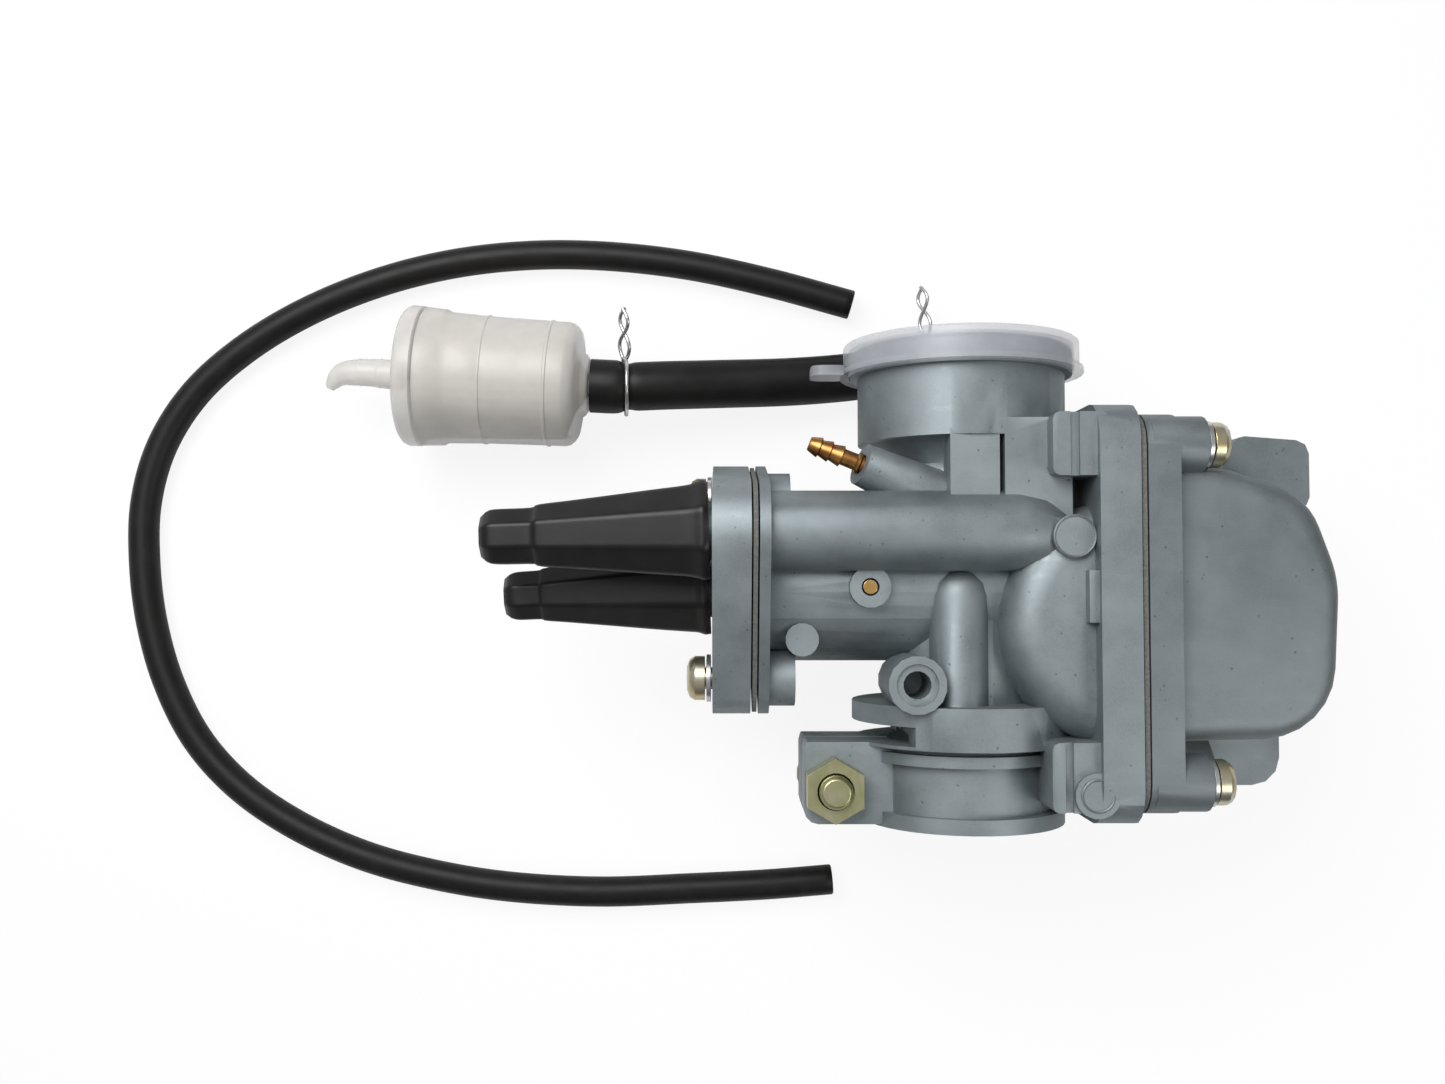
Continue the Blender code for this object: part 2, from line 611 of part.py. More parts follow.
def make_throttle():
    top = SLIDE_BOTTOM - SLIDE_LENGTH
    slide = rod("throttle_slide", (top, 0, 0), (SLIDE_BOTTOM, 0, 0), SLIDE_R, 32)
    floor = SLIDE_BOTTOM - SLIDE_FLOOR
    hollow = rod("cut_slide_well", (top - 1, 0, 0), (floor, 0, 0), SLIDE_R - SLIDE_WALL, 28)
    hole = rod("cut_slide_needle", (0, 0, 0), (SLIDE_BOTTOM + 1, 0, 0), NEEDLE_R + GAP, 16)
    slope = plate("cut_cutaway", "Z", -15, 15,
                  ((SLIDE_BOTTOM + 1, 2.0), (SLIDE_BOTTOM + 1, 14), (SLIDE_BOTTOM - 3, 14)))
    combine(slide, cut=(hollow, hole, slope))
    needle_top = SLIDE_BOTTOM - SLIDE_FLOOR - 2.4
    needle = turned("jet_needle", (needle_top, 0, 0), (1, 0, 0), (
        (0, NEEDLE_R), (1.0, NEEDLE_R), (1.0, 0.8), (1.9, 0.8), (1.9, NEEDLE_R),
        (NEEDLE_LENGTH * 0.5, NEEDLE_R), (NEEDLE_LENGTH, 0.4),
    ), 14)
    clip = tube("needle_clip", (needle_top + 1.2, 0, 0), (needle_top + 1.7, 0, 0), 3.0, 0.8 + GAP - 0.1, 14)
    notch = block("cut_clip_gap", (needle_top - 1, -0.9, 0), (needle_top + 3, 0.9, 5))
    combine(clip, cut=[notch])
    cap_low = cap_stations()[2]
    spring("throttle_spring", (cap_low + GAP, 0, 0), (1, 0, 0),
           SLIDE_BOTTOM - SLIDE_FLOOR - cap_low - 2 * GAP, 7.6, 0.6, 6, 9)
    moving_parent("throttle_axis", (0, 0, 0), (slide, needle, clip))
    plunger = turned("choke_plunger", (PLUNGER_TOP, CHOKE_Y, CHOKE_Z), (1, 0, 0), (
        (0, 1.8), (4, 1.8), (4, PLUNGER_R), (PLUNGER_LENGTH, PLUNGER_R),
    ), 20)
    spring("choke_spring", (cap_low + GAP, CHOKE_Y, CHOKE_Z), (1, 0, 0),
           PLUNGER_TOP + 4 - cap_low - 2 * GAP, 2.8, 0.4, 7, 7)
    moving_parent("choke_axis", (PLUNGER_TOP, CHOKE_Y, CHOKE_Z), (plunger,))


# ---------------------------------------------------------------- float chamber


def bowl_outline(start, inset, bottom):
    """The bowl's side outline in x and y; inset leaves a wall."""
    low_y, high_y = -27.3 + inset, 21.1 - inset
    floor = bottom - inset
    return rounded((
        (start, low_y, 0), (floor - 1.5, low_y + 0.8, 13 - inset), (floor, 1.0, 20),
        (floor - 5.2, high_y - 5.5, 12 - inset), (41.0, high_y + 0.2, 20), (start, high_y - 0.6, 0),
    ), 6)


def make_bowl():
    gasket_low = FLOAT_FACE + GAP
    bowl_low = gasket_low + GASKET + GAP
    flange_high = bowl_low + BOWL_FLANGE
    outline = rectangle(BOWL_LOW_Y, -FLANGE_HALF_Z + 0.6, BOWL_HIGH_Y, FLANGE_HALF_Z - 0.6, 6.0)
    window = rectangle(-25.3, -18, 19.1, 18, 6.0)
    gasket = plate("bowl_gasket", "X", gasket_low, gasket_low + GASKET, outline)
    bowl = plate("float_bowl", "X", bowl_low, flange_high, outline)
    shell = softened("add_shell", -BOWL_HALF_Z, BOWL_HALF_Z, BOWL_EDGE,
                     lambda inset: bowl_outline(bowl_low + 1.5, inset, BOWL_FLOOR))
    well = plate("add_well", "Z", -9, 9, rounded((
        (30, 14, 0), (61.7, 14, 2), (61.7, 26.2, 2.5), (54.0, 26.8, 4), (48.5, 27.2, 2),
        (46, 20, 0), (30, 20, 0),
    ), 2))
    low_boss = plate("add_low_boss", "Z", -9, 9, rounded((
        (40, -20, 0), (55.4, -20, 2), (55.4, -35.9, 5), (45.4, -35.9, 2),
    ), 3))
    drain = rod("add_drain_boss", (DRAIN_X, DRAIN_Y, -15), (DRAIN_X, DRAIN_Y, DRAIN_BOSS_Z), 5.0)
    lugs, cuts = [], []
    number = 0
    for y in BOWL_SCREW_Y:
        for z in (-BOWL_SCREW_Z, BOWL_SCREW_Z):
            number += 1
            lug_face = flange_high + LUG_H
            lugs.append(rod(f"add_lug_{number}", (bowl_low + 1, y, z), (lug_face, y, z), 5.0, 20))
            cuts.append(rod(f"cut_lug_{number}", (bowl_low - 2, y, z), (lug_face + 1, y, z), M4_R + GAP, 12))
            cuts.append(rod(f"cut_spotface_{number}", (lug_face, y, z), (lug_face + 9, y, z),
                            WASHER_R + GAP, 20))
            washer = lug_face + GAP
            tube(f"bowl_washer_{number}", (washer, y, z), (washer + WASHER_H, y, z), WASHER_R, M4_R + GAP, 14)
            pan_head(f"bowl_screw_{number}", (washer + WASHER_H + GAP, y, z), (1, 0, 0), 20.0)
            combine(gasket, cut=[rod(f"cut_gasket_{number}", (20, y, z), (35, y, z), M4_R + GAP, 12)])
    room_z = BOWL_HALF_Z - BOWL_WALL
    room = softened("cut_bowl_room", -room_z, room_z, BOWL_EDGE - BOWL_WALL / 2,
                    lambda inset: bowl_outline(bowl_low - 2, BOWL_WALL + inset, BOWL_FLOOR))
    drain_hole = rod("cut_drain", (DRAIN_X, DRAIN_Y, -17), (DRAIN_X, DRAIN_Y, DRAIN_BOSS_Z - 1),
                     2.5 + GAP, 16)
    combine(bowl, [shell, well, low_boss, drain, *lugs], [room, drain_hole, *cuts])
    combine(gasket, cut=[plate("cut_window", "X", 20, 35, window)])
    head_z = DRAIN_BOSS_Z - GAP
    pan_head("drain_screw", (DRAIN_X, DRAIN_Y, head_z), (0, 0, -1), 10.0, 2.5, 4.6, REST_HEIGHT + head_z)


def make_float():
    pivot = plate("float", "X", PIN_X - 1.6, PIN_X + 1.6,
                  rectangle(8.2, -LOBE_OUT, PIN_Y - 3.0, LOBE_OUT, 1.5, 2))
    tongue = block("add_tongue", (PIN_X - 1.6, PIN_Y - 4, -6.8), (PIN_X + 1.6, PIN_Y + 2.3, 6.8))
    shapes = [tongue]
    for side in (-1, 1):
        low, high = sorted((LOBE_IN * side, LOBE_OUT * side))
        shapes.append(block(f"add_arm_{side}", (PIN_X - 1.4, -2, low + 0.2), (37, 9, high - 0.2)))
        shapes.append(plate(f"add_lobe_{side}", "Z", low, high, rectangle(36, -21, 50, 8, 3.0, 3)))
    hole = rod("cut_float_pin", (PIN_X, PIN_Y, -9), (PIN_X, PIN_Y, 9), PIN_R + GAP, 16)
    combine(pivot, shapes, [hole])
    rod("float_pin", (PIN_X, PIN_Y, -PIN_HALF), (PIN_X, PIN_Y, PIN_HALF), PIN_R, 12)
    moving_parent("float_axis", (PIN_X, PIN_Y, 0), (pivot,))
    seat = turned("needle_valve_seat", (13.3, VALVE_Y, 0), (1, 0, 0), (
        (0, 0.9), (0, SEAT_R), (14.0, SEAT_R), (14.0, 1.9), (4.2, 1.9), (3.0, 0.9),
    ), 16, closed=True)
    valve = turned("float_needle", (17.9, VALVE_Y, 0), (1, 0, 0), (
        (0, 0.3), (2.4, 1.5), (10.6, 1.5), (10.6, 0.9), (PIN_X - 1.6 - GAP - 17.9, 0.9),
    ), 14)
    moving_parent("float_valve_axis", (17.9, VALVE_Y, 0), (valve,))
    jet_start = SLIDE_BOTTOM + 1.2
    tube("needle_jet", (jet_start, 0, 0), (TOWER_END - 1.8, 0, 0), JET_R, NEEDLE_R + GAP, 16)
    turned("main_jet", (TOWER_END + GAP, 0, 0), (1, 0, 0), (
        (-1.2, 0.6), (-1.2, 2.6), (0, 2.6), (0, 4.4), (2.6, 4.4), (2.6, 2.8), (4.4, 2.8), (4.4, 0.6),
    ), 12, closed=True)
    tube("pilot_jet", (30.3, PILOT_Y, 0), (39.6, PILOT_Y, 0), 2.0, 0.5, 12)


# ---------------------------------------------------------------- clamp, screws and fittings


def make_clamp():
    face = SLIT / 2 + EAR_H
    washer_z = -face - GAP
    tube("clamp_washer", (CLAMP_X, CLAMP_Y, washer_z), (CLAMP_X, CLAMP_Y, washer_z - 1.0),
         5.6, M6_R + GAP, 20)
    head_z = washer_z - 1.0 - GAP
    thread = face + NUT_H + 2 * GAP - head_z + 1.2
    bolt = turned("clamp_bolt", (CLAMP_X, CLAMP_Y, head_z), (0, 0, 1),
                  ((-1, M6_R), (thread, M6_R), (thread + 0.6, M6_R - 0.6)), 20)
    head = hexagon("add_bolt_head", (CLAMP_X, CLAMP_Y, head_z - 4.0), (0, 0, 1), 4.0, NUT_R)
    combine(bolt, [head])
    nut = hexagon("clamp_nut", (CLAMP_X, CLAMP_Y, face + GAP), (0, 0, 1), NUT_H, NUT_R)
    combine(nut, cut=[rod("cut_nut", (CLAMP_X, CLAMP_Y, 0), (CLAMP_X, CLAMP_Y, 30), M6_R + GAP, 20)])


def make_idle_screw():
    head_z = -REST_HEIGHT + 5.0
    tip_z = -math.sqrt(SLIDE_R**2 - IDLE_Y**2) - IDLE_SHORT
    screw = pan_head("idle_screw", (IDLE_X, IDLE_Y, head_z), (0, 0, -1), tip_z - head_z, 2.0, 4.8, 5.0, 1.1)
    spring("idle_spring", (IDLE_X, IDLE_Y, IDLE_BOSS_Z - GAP), (0, 0, -1),
           IDLE_BOSS_Z - head_z - 2 * GAP, 3.1, 0.5, 4, 8)
    moving_parent("idle_axis", (IDLE_X, IDLE_Y, head_z), (screw,))


def make_air_screw():
    place = (AIR_SCREW_X, AIR_BLOCK_TOP - 1.4, AIR_SCREW_Z)
    screw = turned("air_screw", place, (0, -1, 0), (
        (0, 2.4), (0.4, 2.7), (2.2, 2.7), (2.2, 1.6), (8.6, 1.6), (11.0, 0.4),
    ), 16)
    slot = block("cut_air_slot", (AIR_SCREW_X - 3, AIR_BLOCK_TOP - 2.2, AIR_SCREW_Z - 0.4),
                 (AIR_SCREW_X + 3, AIR_BLOCK_TOP + 1, AIR_SCREW_Z + 0.4))
    combine(screw, cut=[slot])
    spring("air_spring", (AIR_SCREW_X, place[1] - 2.2 - GAP, AIR_SCREW_Z), (0, -1, 0), 6.0, 2.4, 0.35, 4, 8)
    moving_parent("air_screw_axis", place, (screw,))


def make_fittings():
    start = nipple_root(NIPPLE_ROOT)
    axis = Vector(NIPPLE_TIP) - start
    reach = axis.length
    turned("vent_nipple", start, axis, (
        (0, 0.7), (0, 1.5), (NIPPLE_ROOT + 0.3, 1.5), (reach - 6.2, 1.5), (reach - 6.2, 2.0),
        (reach - 4.2, 1.5), (reach - 4.0, 1.5), (reach - 4.0, 2.0), (reach - 2.2, 1.45),
        (reach - 2.0, 1.45), (reach - 2.0, 1.9), (reach, 1.3), (reach, 0.7),
    ), 16, closed=True)
    rod("brass_plug", (PLUG_X, PLUG_Y, 13.3), (PLUG_X, PLUG_Y, 15.8), 1.3, 14)
    turn_y = HOSE_ROUTE[0][1]
    route = (
        (INLET_X, 25.0, INLET_Z), (INLET_X, 34.0, INLET_Z), (INLET_X, 40.0, INLET_Z),
        (INLET_X - 1.0, 44.5, INLET_Z), (INLET_X - 4.2, turn_y + 0.4, INLET_Z),
        (HOSE_ROUTE[0][0] + GAP, turn_y, INLET_Z),
    )
    tube_curve("fuel_inlet_pipe", smooth_route(route, 2.2), INLET_R, 2)


def make_dust_cap():
    inner = BELL_LIP_R + GAP
    outer = inner + CAP_WALL
    top = BELL_END + GAP
    shell = turned("dust_cap", (0, top - CAP_DEPTH, 0), (0, 1, 0), (
        (0, CAP_FLANGE_R), (0.9, CAP_FLANGE_R), (0.9, outer), (CAP_DEPTH + CAP_WALL - 0.4, outer),
        (CAP_DEPTH + CAP_WALL, outer - 0.4),
    ), 36)
    well = rod("cut_cap_well", (0, top - CAP_DEPTH - 1, 0), (0, top, 0), inner, 36)
    tab = plate("add_cap_tab", "Y", top - CAP_DEPTH - 0.1, top - CAP_DEPTH + 1.7,
                rectangle(-28.2, -4.0, -inner - 0.4, 4.0, 2.0, 3))
    combine(shell, [tab], [well])
    moving_parent("dust_cap_axis", (0, top, 0), (shell,))


# ---------------------------------------------------------------- hoses and filter


def make_hoses():
    tube_curve("fuel_hose", smooth_route(HOSE_ROUTE, 4.5), HOSE_R, 4)
    lay = -REST_HEIGHT + VENT_HOSE_R + 0.1
    tube_curve("vent_hose", smooth_route([(x, y, lay) for x, y in VENT_HOSE_ROUTE], 9.0), VENT_HOSE_R, 2)
    make_hose_clip("hose_clip_1", Vector((-1.0, 47.25, INLET_Z)), Vector((1, 0.1, 0)), Vector((0, 1, 0.05)))
    make_hose_clip("hose_clip_2", Vector((-64.8, 41.05, -21.95)), Vector((1, 0.03, -0.08)),
                   Vector((0, 0.87, 0.5)))


def make_hose_clip(name, centre, axis, lean):
    """A spring wire clip: a ring round the hose whose two ends cross and stand up as ears."""
    ring_r = HOSE_R + 0.35 + CLIP_WIRE_R
    axis = axis.normalized()
    up = (lean - axis * lean.dot(axis)).normalized()
    side = axis.cross(up)
    points = []
    for i in range(19):
        angle = math.radians(100 + 340 * i / 18 - 10)
        shift = axis * ((i / 18 - 0.5) * 2.6)
        points.append(centre + shift + (up * math.sin(angle) + side * math.cos(angle)) * ring_r)
    first, last = points[0], points[-1]
    points.insert(0, first + up * 5.0 - side * 0.8)
    points.append(last + up * 5.0 + side * 0.8)
    points.insert(0, points[0] + up * 4.6 - side * 1.4)
    points.append(points[-1] + up * 4.6 + side * 1.4)
    tube_curve(name, points, CLIP_WIRE_R, 1)


def make_filter():
    axis = Vector(FILTER_AXIS).normalized()
    shoulder = Vector(HOSE_ROUTE[-1]) + axis * GAP
    turned("filter_body", shoulder, axis, (
        (0, 2.0), (0, 5.4), (0.9, 6.4), (2.0, 11.6), (3.4, FILTER_SHOULDER_R), (15.5, 12.9), (26.5, 13.3),
        (CUP_LENGTH - 1.5, FILTER_R - 0.3), (CUP_LENGTH, FILTER_R), (CUP_LENGTH, 12.4),
        (15.5, 11.5), (4.6, 11.2), (2.6, 2.0),
    ), 24, closed=True)
    end = shoulder + axis * (CUP_LENGTH + GAP)
    turned("filter_end_cap", end, axis, (
        (0, 1.6), (0, FILTER_R), (2.0, FILTER_R), (3.6, FILTER_R - 1.4), (3.6, 4.2), (4.8, SPOUT_R),
        (12.4, SPOUT_R), (12.4, 3.7), (14.4, SPOUT_R), (14.8, SPOUT_R), (14.8, 3.7), (17.4, 2.6),
        (17.4, 1.6),
    ), 24, closed=True)
    tube("filter_element", tuple(shoulder + axis * 5.4), tuple(end - axis * GAP), 8.6, 4.6, 20)


# ---------------------------------------------------------------- looks


def finish(name, colour, metallic, roughness, alpha=1.0):
    """One material for the named piece."""
    look = bpy.data.materials.new(name)
    look.use_nodes = True
    shader = look.node_tree.nodes["Principled BSDF"]
    shader.inputs["Base Color"].default_value = (*colour, 1.0)
    shader.inputs["Metallic"].default_value = metallic
    shader.inputs["Roughness"].default_value = roughness
    shader.inputs["Alpha"].default_value = alpha
    return look


CASTING = ((0.32, 0.35, 0.36), 0.85, 0.5)
ZINC = ((0.42, 0.38, 0.24), 0.9, 0.35)
BRASS = ((0.45, 0.27, 0.10), 0.95, 0.3)
STEEL = ((0.40, 0.40, 0.40), 0.95, 0.3)
RUBBER = ((0.012, 0.012, 0.013), 0.0, 0.4)
MILKY = ((0.72, 0.70, 0.66), 0.0, 0.35, 0.6)
FIBRE = ((0.10, 0.09, 0.08), 0.0, 0.9)
FLOAT_PLASTIC = ((0.03, 0.03, 0.03), 0.0, 0.5)
LOOKS = (
    (("carburetor_body", "top_cap", "float_bowl"), CASTING),
    (("gasket",), FIBRE),
    (("hose_clip",), STEEL),
    (("boot", "hose"), RUBBER),
    (("dust_cap", "filter"), MILKY),
    (("jet_needle",), STEEL),
    (("jet", "seat", "nipple", "plug", "air_screw", "plunger", "inlet_pipe", "adjuster", "guide"), BRASS),
    (("spring", "pin", "needle_clip", "slide", "float_needle"), STEEL),
    (("screw", "washer", "bolt", "nut"), ZINC),
    (("float",), FLOAT_PLASTIC),
)


def look_for(name):
    """The first look whose words the name holds."""
    return next(look for words, look in LOOKS if any(word in name for word in words))


def finish_and_place():
    """Gives each piece its material and smooth shading, and stands the assembly on the table."""
    root = bpy.data.objects.new("assembly", None)
    root.location = Vector((CENTRE_X, CENTRE_Y, REST_HEIGHT)) * MM
    for piece in list(bpy.context.scene.objects):
        if piece.parent is None:
            piece.parent = root
        if piece.type == "EMPTY":
            continue
        if piece.type == "MESH":
            piece.data.shade_smooth()
            piece.data.set_sharp_from_angle(angle=math.radians(35))
        if not piece.hide_render:
            piece.data.materials.append(finish(piece.name, *look_for(piece.name)))
    bpy.context.scene.collection.objects.link(root)


def main():
    clear_scene()
    make_body()
    make_top_cap()
    make_throttle()
    make_bowl()
    make_float()
    make_clamp()
    make_idle_screw()
    make_air_screw()
    make_fittings()
    make_dust_cap()
    make_hoses()
    make_filter()
    finish_and_place()


main()
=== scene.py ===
"""Looks of a slide carburetor lying on its side with its fuel hose, filter and vent hose.

The CAD frame gives every place. Each operator makes one piece, or a group of like pieces, and
main() calls them in order. Lengths are in metres.
"""
import math

import bmesh
import bpy
import numpy as np
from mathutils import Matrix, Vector


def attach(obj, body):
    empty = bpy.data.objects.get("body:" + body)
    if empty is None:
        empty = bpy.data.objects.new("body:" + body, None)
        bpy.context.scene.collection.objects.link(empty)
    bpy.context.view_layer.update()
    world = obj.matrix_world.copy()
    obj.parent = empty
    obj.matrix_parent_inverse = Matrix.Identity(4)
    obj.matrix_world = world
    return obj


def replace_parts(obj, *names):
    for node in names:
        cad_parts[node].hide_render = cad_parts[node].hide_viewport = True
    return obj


bl_info = {
    "name": "Slide Carburetor",
    "version": (1, 0, 0),
    "blender": (4, 5, 0),
    "location": "View3D > Sidebar > Carburetor",
    "description": "Builds the looks of a slide carburetor with its hoses and filter",
    "category": "Object",
}

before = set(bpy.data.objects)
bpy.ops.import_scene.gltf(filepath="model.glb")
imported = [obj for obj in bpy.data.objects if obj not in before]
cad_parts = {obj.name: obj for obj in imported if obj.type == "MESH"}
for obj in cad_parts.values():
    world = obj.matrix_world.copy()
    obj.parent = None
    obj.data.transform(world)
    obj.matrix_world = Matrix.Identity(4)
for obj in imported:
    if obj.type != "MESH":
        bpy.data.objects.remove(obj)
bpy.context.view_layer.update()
MM = 0.001
MAIN = "carburetor"
CROSSING = np.array((12.27, -3.68, 36.0)) * MM  # where the bore and slide axes cross

HOSE_ROUTE = (
    (2.0, 47.5, -29.6), (-6.0, 46.6, -29.5), (-16.0, 44.4, -28.7), (-30.0, 42.9, -27.0),
    (-45.0, 42.1, -25.0), (-56.0, 41.5, -23.0), (-65.5, 41.0, -21.9), (-71.9, 41.2, -21.7),
)
VENT_ROUTE = (
    (-17.1, 60.4), (-34.5, 65.2), (-52.0, 69.0), (-69.4, 71.0), (-86.0, 71.2), (-102.5, 69.4),
    (-118.4, 65.4), (-133.4, 59.3), (-146.6, 51.4), (-157.4, 41.8), (-164.6, 30.5), (-168.0, 18.0),
    (-168.1, 5.0), (-166.3, -8.0), (-162.4, -20.8), (-156.0, -32.8), (-146.6, -42.8), (-134.5, -50.8),
    (-120.5, -57.0), (-105.5, -61.0), (-89.5, -63.5), (-70.6, -64.5), (-51.6, -63.8), (-35.5, -63.0),
    (-21.7, -61.9),
)
VENT_LAY = -32.8


def place(x, y, z):
    """A point given in millimetres from the crossing of the two axes."""
    return CROSSING + np.array((x, y, z)) * MM


# ---------------------------------------------------------------- shader expressions


class Signal:
    """A socket's value; arithmetic on it adds Math nodes."""

    def __init__(self, recipe, socket):
        self.recipe = recipe
        self.socket = socket

    def math(self, operation, first, second=0.0, clamp=False):
        node = self.recipe.nodes.new("ShaderNodeMath")
        node.operation = operation
        node.use_clamp = clamp
        self.recipe.feed(node.inputs[0], first)
        self.recipe.feed(node.inputs[1], second)
        return Signal(self.recipe, node.outputs[0])

    def __add__(self, other):
        return self.math("ADD", self, other)

    def __radd__(self, other):
        return self.math("ADD", other, self)

    def __sub__(self, other):
        return self.math("SUBTRACT", self, other)

    def __rsub__(self, other):
        return self.math("SUBTRACT", other, self)

    def __mul__(self, other):
        return self.math("MULTIPLY", self, other)

    def __rmul__(self, other):
        return self.math("MULTIPLY", other, self)

    def __truediv__(self, other):
        return self.math("DIVIDE", self, other)

    def __pow__(self, other):
        return self.math("POWER", self, other)

    def limited(self):
        return self.math("ADD", self, 0.0, clamp=True)

    def over(self, low, high):
        """0 below low, 1 above high, straight between."""
        return ((self - low) / (high - low)).limited()


class Finish:
    """A material's node tree with its Principled shader."""

    def __init__(self, name):
        self.material = bpy.data.materials.new(name)
        self.material.use_nodes = True
        self.nodes = self.material.node_tree.nodes
        self.links = self.material.node_tree.links
        self.shader = self.nodes["Principled BSDF"]
        self.place = self.add("ShaderNodeTexCoord", output="Object")

    def feed(self, socket, value):
        if isinstance(value, Signal):
            self.links.new(value.socket, socket)
        elif isinstance(value, tuple) and socket.type == "RGBA":
            socket.default_value = (*value, 1.0)[:4]
        else:
            socket.default_value = value

    def add(self, kind, settings=None, inputs=None, output=0):
        node = self.nodes.new(kind)
        for key, value in (settings or {}).items():
            if key == "stops":
                ramp = node.color_ramp.elements
                while len(ramp) < len(value):
                    ramp.new(0.5)
                for element, (where, colour) in zip(ramp, value):
                    element.position = where
                    element.color = (*colour, 1.0)
            else:
                setattr(node, key, value)
        for key, value in (inputs or {}).items():
            self.feed(node.inputs[key], value)
        return Signal(self, node.outputs[output])

    def noise(self, size, detail=3.0, rough=0.55, where=None):
        """Cloudy noise whose features are about size metres across."""
        inputs = {"Vector": where or self.place, "Scale": 1 / size, "Detail": detail, "Roughness": rough}
        return self.add("ShaderNodeTexNoise", inputs=inputs)

    def cells(self, size, where=None):
        """Distance from scattered points about size metres apart."""
        return self.add("ShaderNodeTexVoronoi", inputs={"Vector": where or self.place, "Scale": 1 / size})

    def stretched(self, factors):
        settings = {"operation": "MULTIPLY"}
        return self.add("ShaderNodeVectorMath", settings, {0: self.place, 1: factors})

    def blend(self, share, first, second):
        settings = {"data_type": "RGBA"}
        return self.add("ShaderNodeMix", settings, {0: share, 6: first, 7: second}, output=2)

    def bump(self, height, depth, strength=1.0):
        return self.add("ShaderNodeBump", inputs={"Height": height, "Distance": depth, "Strength": strength})

    def set(self, **values):
        for key, value in values.items():
            self.feed(self.shader.inputs[key.replace("_", " ")], value)
        return self.material


def look_settings():
    return bpy.context.scene.carburetor_looks


def colour_of(name):
    return tuple(getattr(look_settings(), name))


def cast_metal(name, painted_light_level=1.0):
    """Sandy die casting: mottled tone, fine grain, scattered pits and a few handling streaks. The second argument
    scales the whole tone as painted light or painted shade, so one metal comes as lighter and darker copies.
    """
    finish = Finish(name)
    # Painted light and shade: the casting tone is multiplied by the piece's factor, lighter for a lit piece and darker
    # for a shaded one.
    tone = tuple(channel * painted_light_level for channel in colour_of("casting_colour"))
    mottle = finish.noise(9 * MM, 4.0, 0.6).over(0.35, 0.7)
    grain = finish.noise(0.28 * MM, 3.0, 0.7)
    pits = 1 - finish.cells(1.9 * MM).over(0.05, 0.16)
    rare = finish.noise(4 * MM, 1.0).over(0.5, 0.62)
    dents = pits * rare
    streak = finish.noise(1.4 * MM, 2.0, 0.5, finish.stretched((0.25, 1.0, 1.0))).over(0.55, 0.8)
    base = finish.blend(mottle, tuple(c * 0.84 for c in tone), tuple(min(c * 1.13, 1) for c in tone))
    base = finish.blend(grain.over(0.3, 0.75) * 0.35, base, tuple(min(c * 1.5, 1) for c in tone))
    base = finish.blend(dents * 0.7, base, tuple(c * 0.35 for c in tone))
    rough = 0.47 + mottle * 0.08 + grain * 0.12 - streak * 0.07
    height = grain * 0.55 + mottle * 0.6 - dents * 1.4
    return finish.set(Base_Color=base, Metallic=0.76, Roughness=rough, Normal=finish.bump(height, 0.05 * MM, 0.55))


def plated_metal(name, tone, second, rough=0.26):
    """Bright plating whose tint drifts between two colours, with turning marks and small scratches."""
    finish = Finish(name)
    drift = finish.noise(2.4 * MM, 2.0).over(0.3, 0.7)
    scratch = finish.noise(0.5 * MM, 2.0, 0.6, finish.stretched((1.0, 0.15, 1.0)))
    spots = (1 - finish.cells(0.9 * MM).over(0.04, 0.12)) * drift
    base = finish.blend(drift, tone, second)
    base = finish.blend(spots * 0.5, base, tuple(c * 0.4 for c in tone))
    return finish.set(
        Base_Color=base, Metallic=0.95, Roughness=rough + scratch * 0.14,
        Normal=finish.bump(scratch, 0.02 * MM, 0.5),
    )


def black_rubber(name, gloss):
    """Moulded rubber: near black, dusty bloom, fine grain; gloss from 0, dull, to 1, shiny."""
    finish = Finish(name)
    tone = colour_of("rubber_colour")
    bloom = finish.noise(5 * MM, 3.0, 0.6).over(0.45, 0.8)
    grain = finish.noise(0.22 * MM, 2.0, 0.6)
    base = finish.blend(bloom * 0.5, tone, tuple(c * 1.7 + 0.002 for c in tone))
    rough = 0.50 - 0.2 * gloss + bloom * 0.12 + grain * 0.06
    return finish.set(
        Base_Color=base, Metallic=0.0, Roughness=rough, Specular_IOR_Level=0.12 + 0.14 * gloss,
        Normal=finish.bump(grain * 0.5 + bloom * 0.6, 0.04 * MM, 0.4),
    )


def milky_plastic(name, tone, clear):
    """Translucent moulded plastic: cloudy, with flow marks and a soft sheen."""
    finish = Finish(name)
    cloud = finish.noise(7 * MM, 3.0, 0.55).over(0.3, 0.75)
    flow = finish.noise(1.6 * MM, 2.0, 0.5, finish.stretched((0.3, 1.0, 1.0)))
    base = finish.blend(cloud, tuple(c * 0.93 for c in tone), tone)
    return finish.set(
        Base_Color=base, Roughness=0.26 + flow * 0.16, Alpha=(1 - clear) + cloud * 0.06,
        Normal=finish.bump(flow, 0.03 * MM, 0.4), Subsurface_Weight=0.25, Subsurface_Radius=(0.004, 0.0035, 0.003),
    )


def fibre_sheet(name):
    """Grey-brown gasket fibre with flecks."""
    finish = Finish(name)
    fleck = finish.noise(0.5 * MM, 3.0, 0.8).over(0.4, 0.7)
    base = finish.blend(fleck, (0.085, 0.085, 0.08), (0.15, 0.15, 0.14))
    return finish.set(Base_Color=base, Roughness=0.8 + fleck * 0.1, Normal=finish.bump(fleck, 0.03 * MM, 0.6))


def pleated_paper(name):
    """Pale filter paper with soft fibres."""
    finish = Finish(name)
    fibre = finish.noise(0.35 * MM, 4.0, 0.7)
    base = finish.blend(fibre, (0.60, 0.57, 0.50), (0.78, 0.76, 0.70))
    return finish.set(Base_Color=base, Roughness=0.85 + fibre * 0.1, Normal=finish.bump(fibre, 0.05 * MM, 0.7))


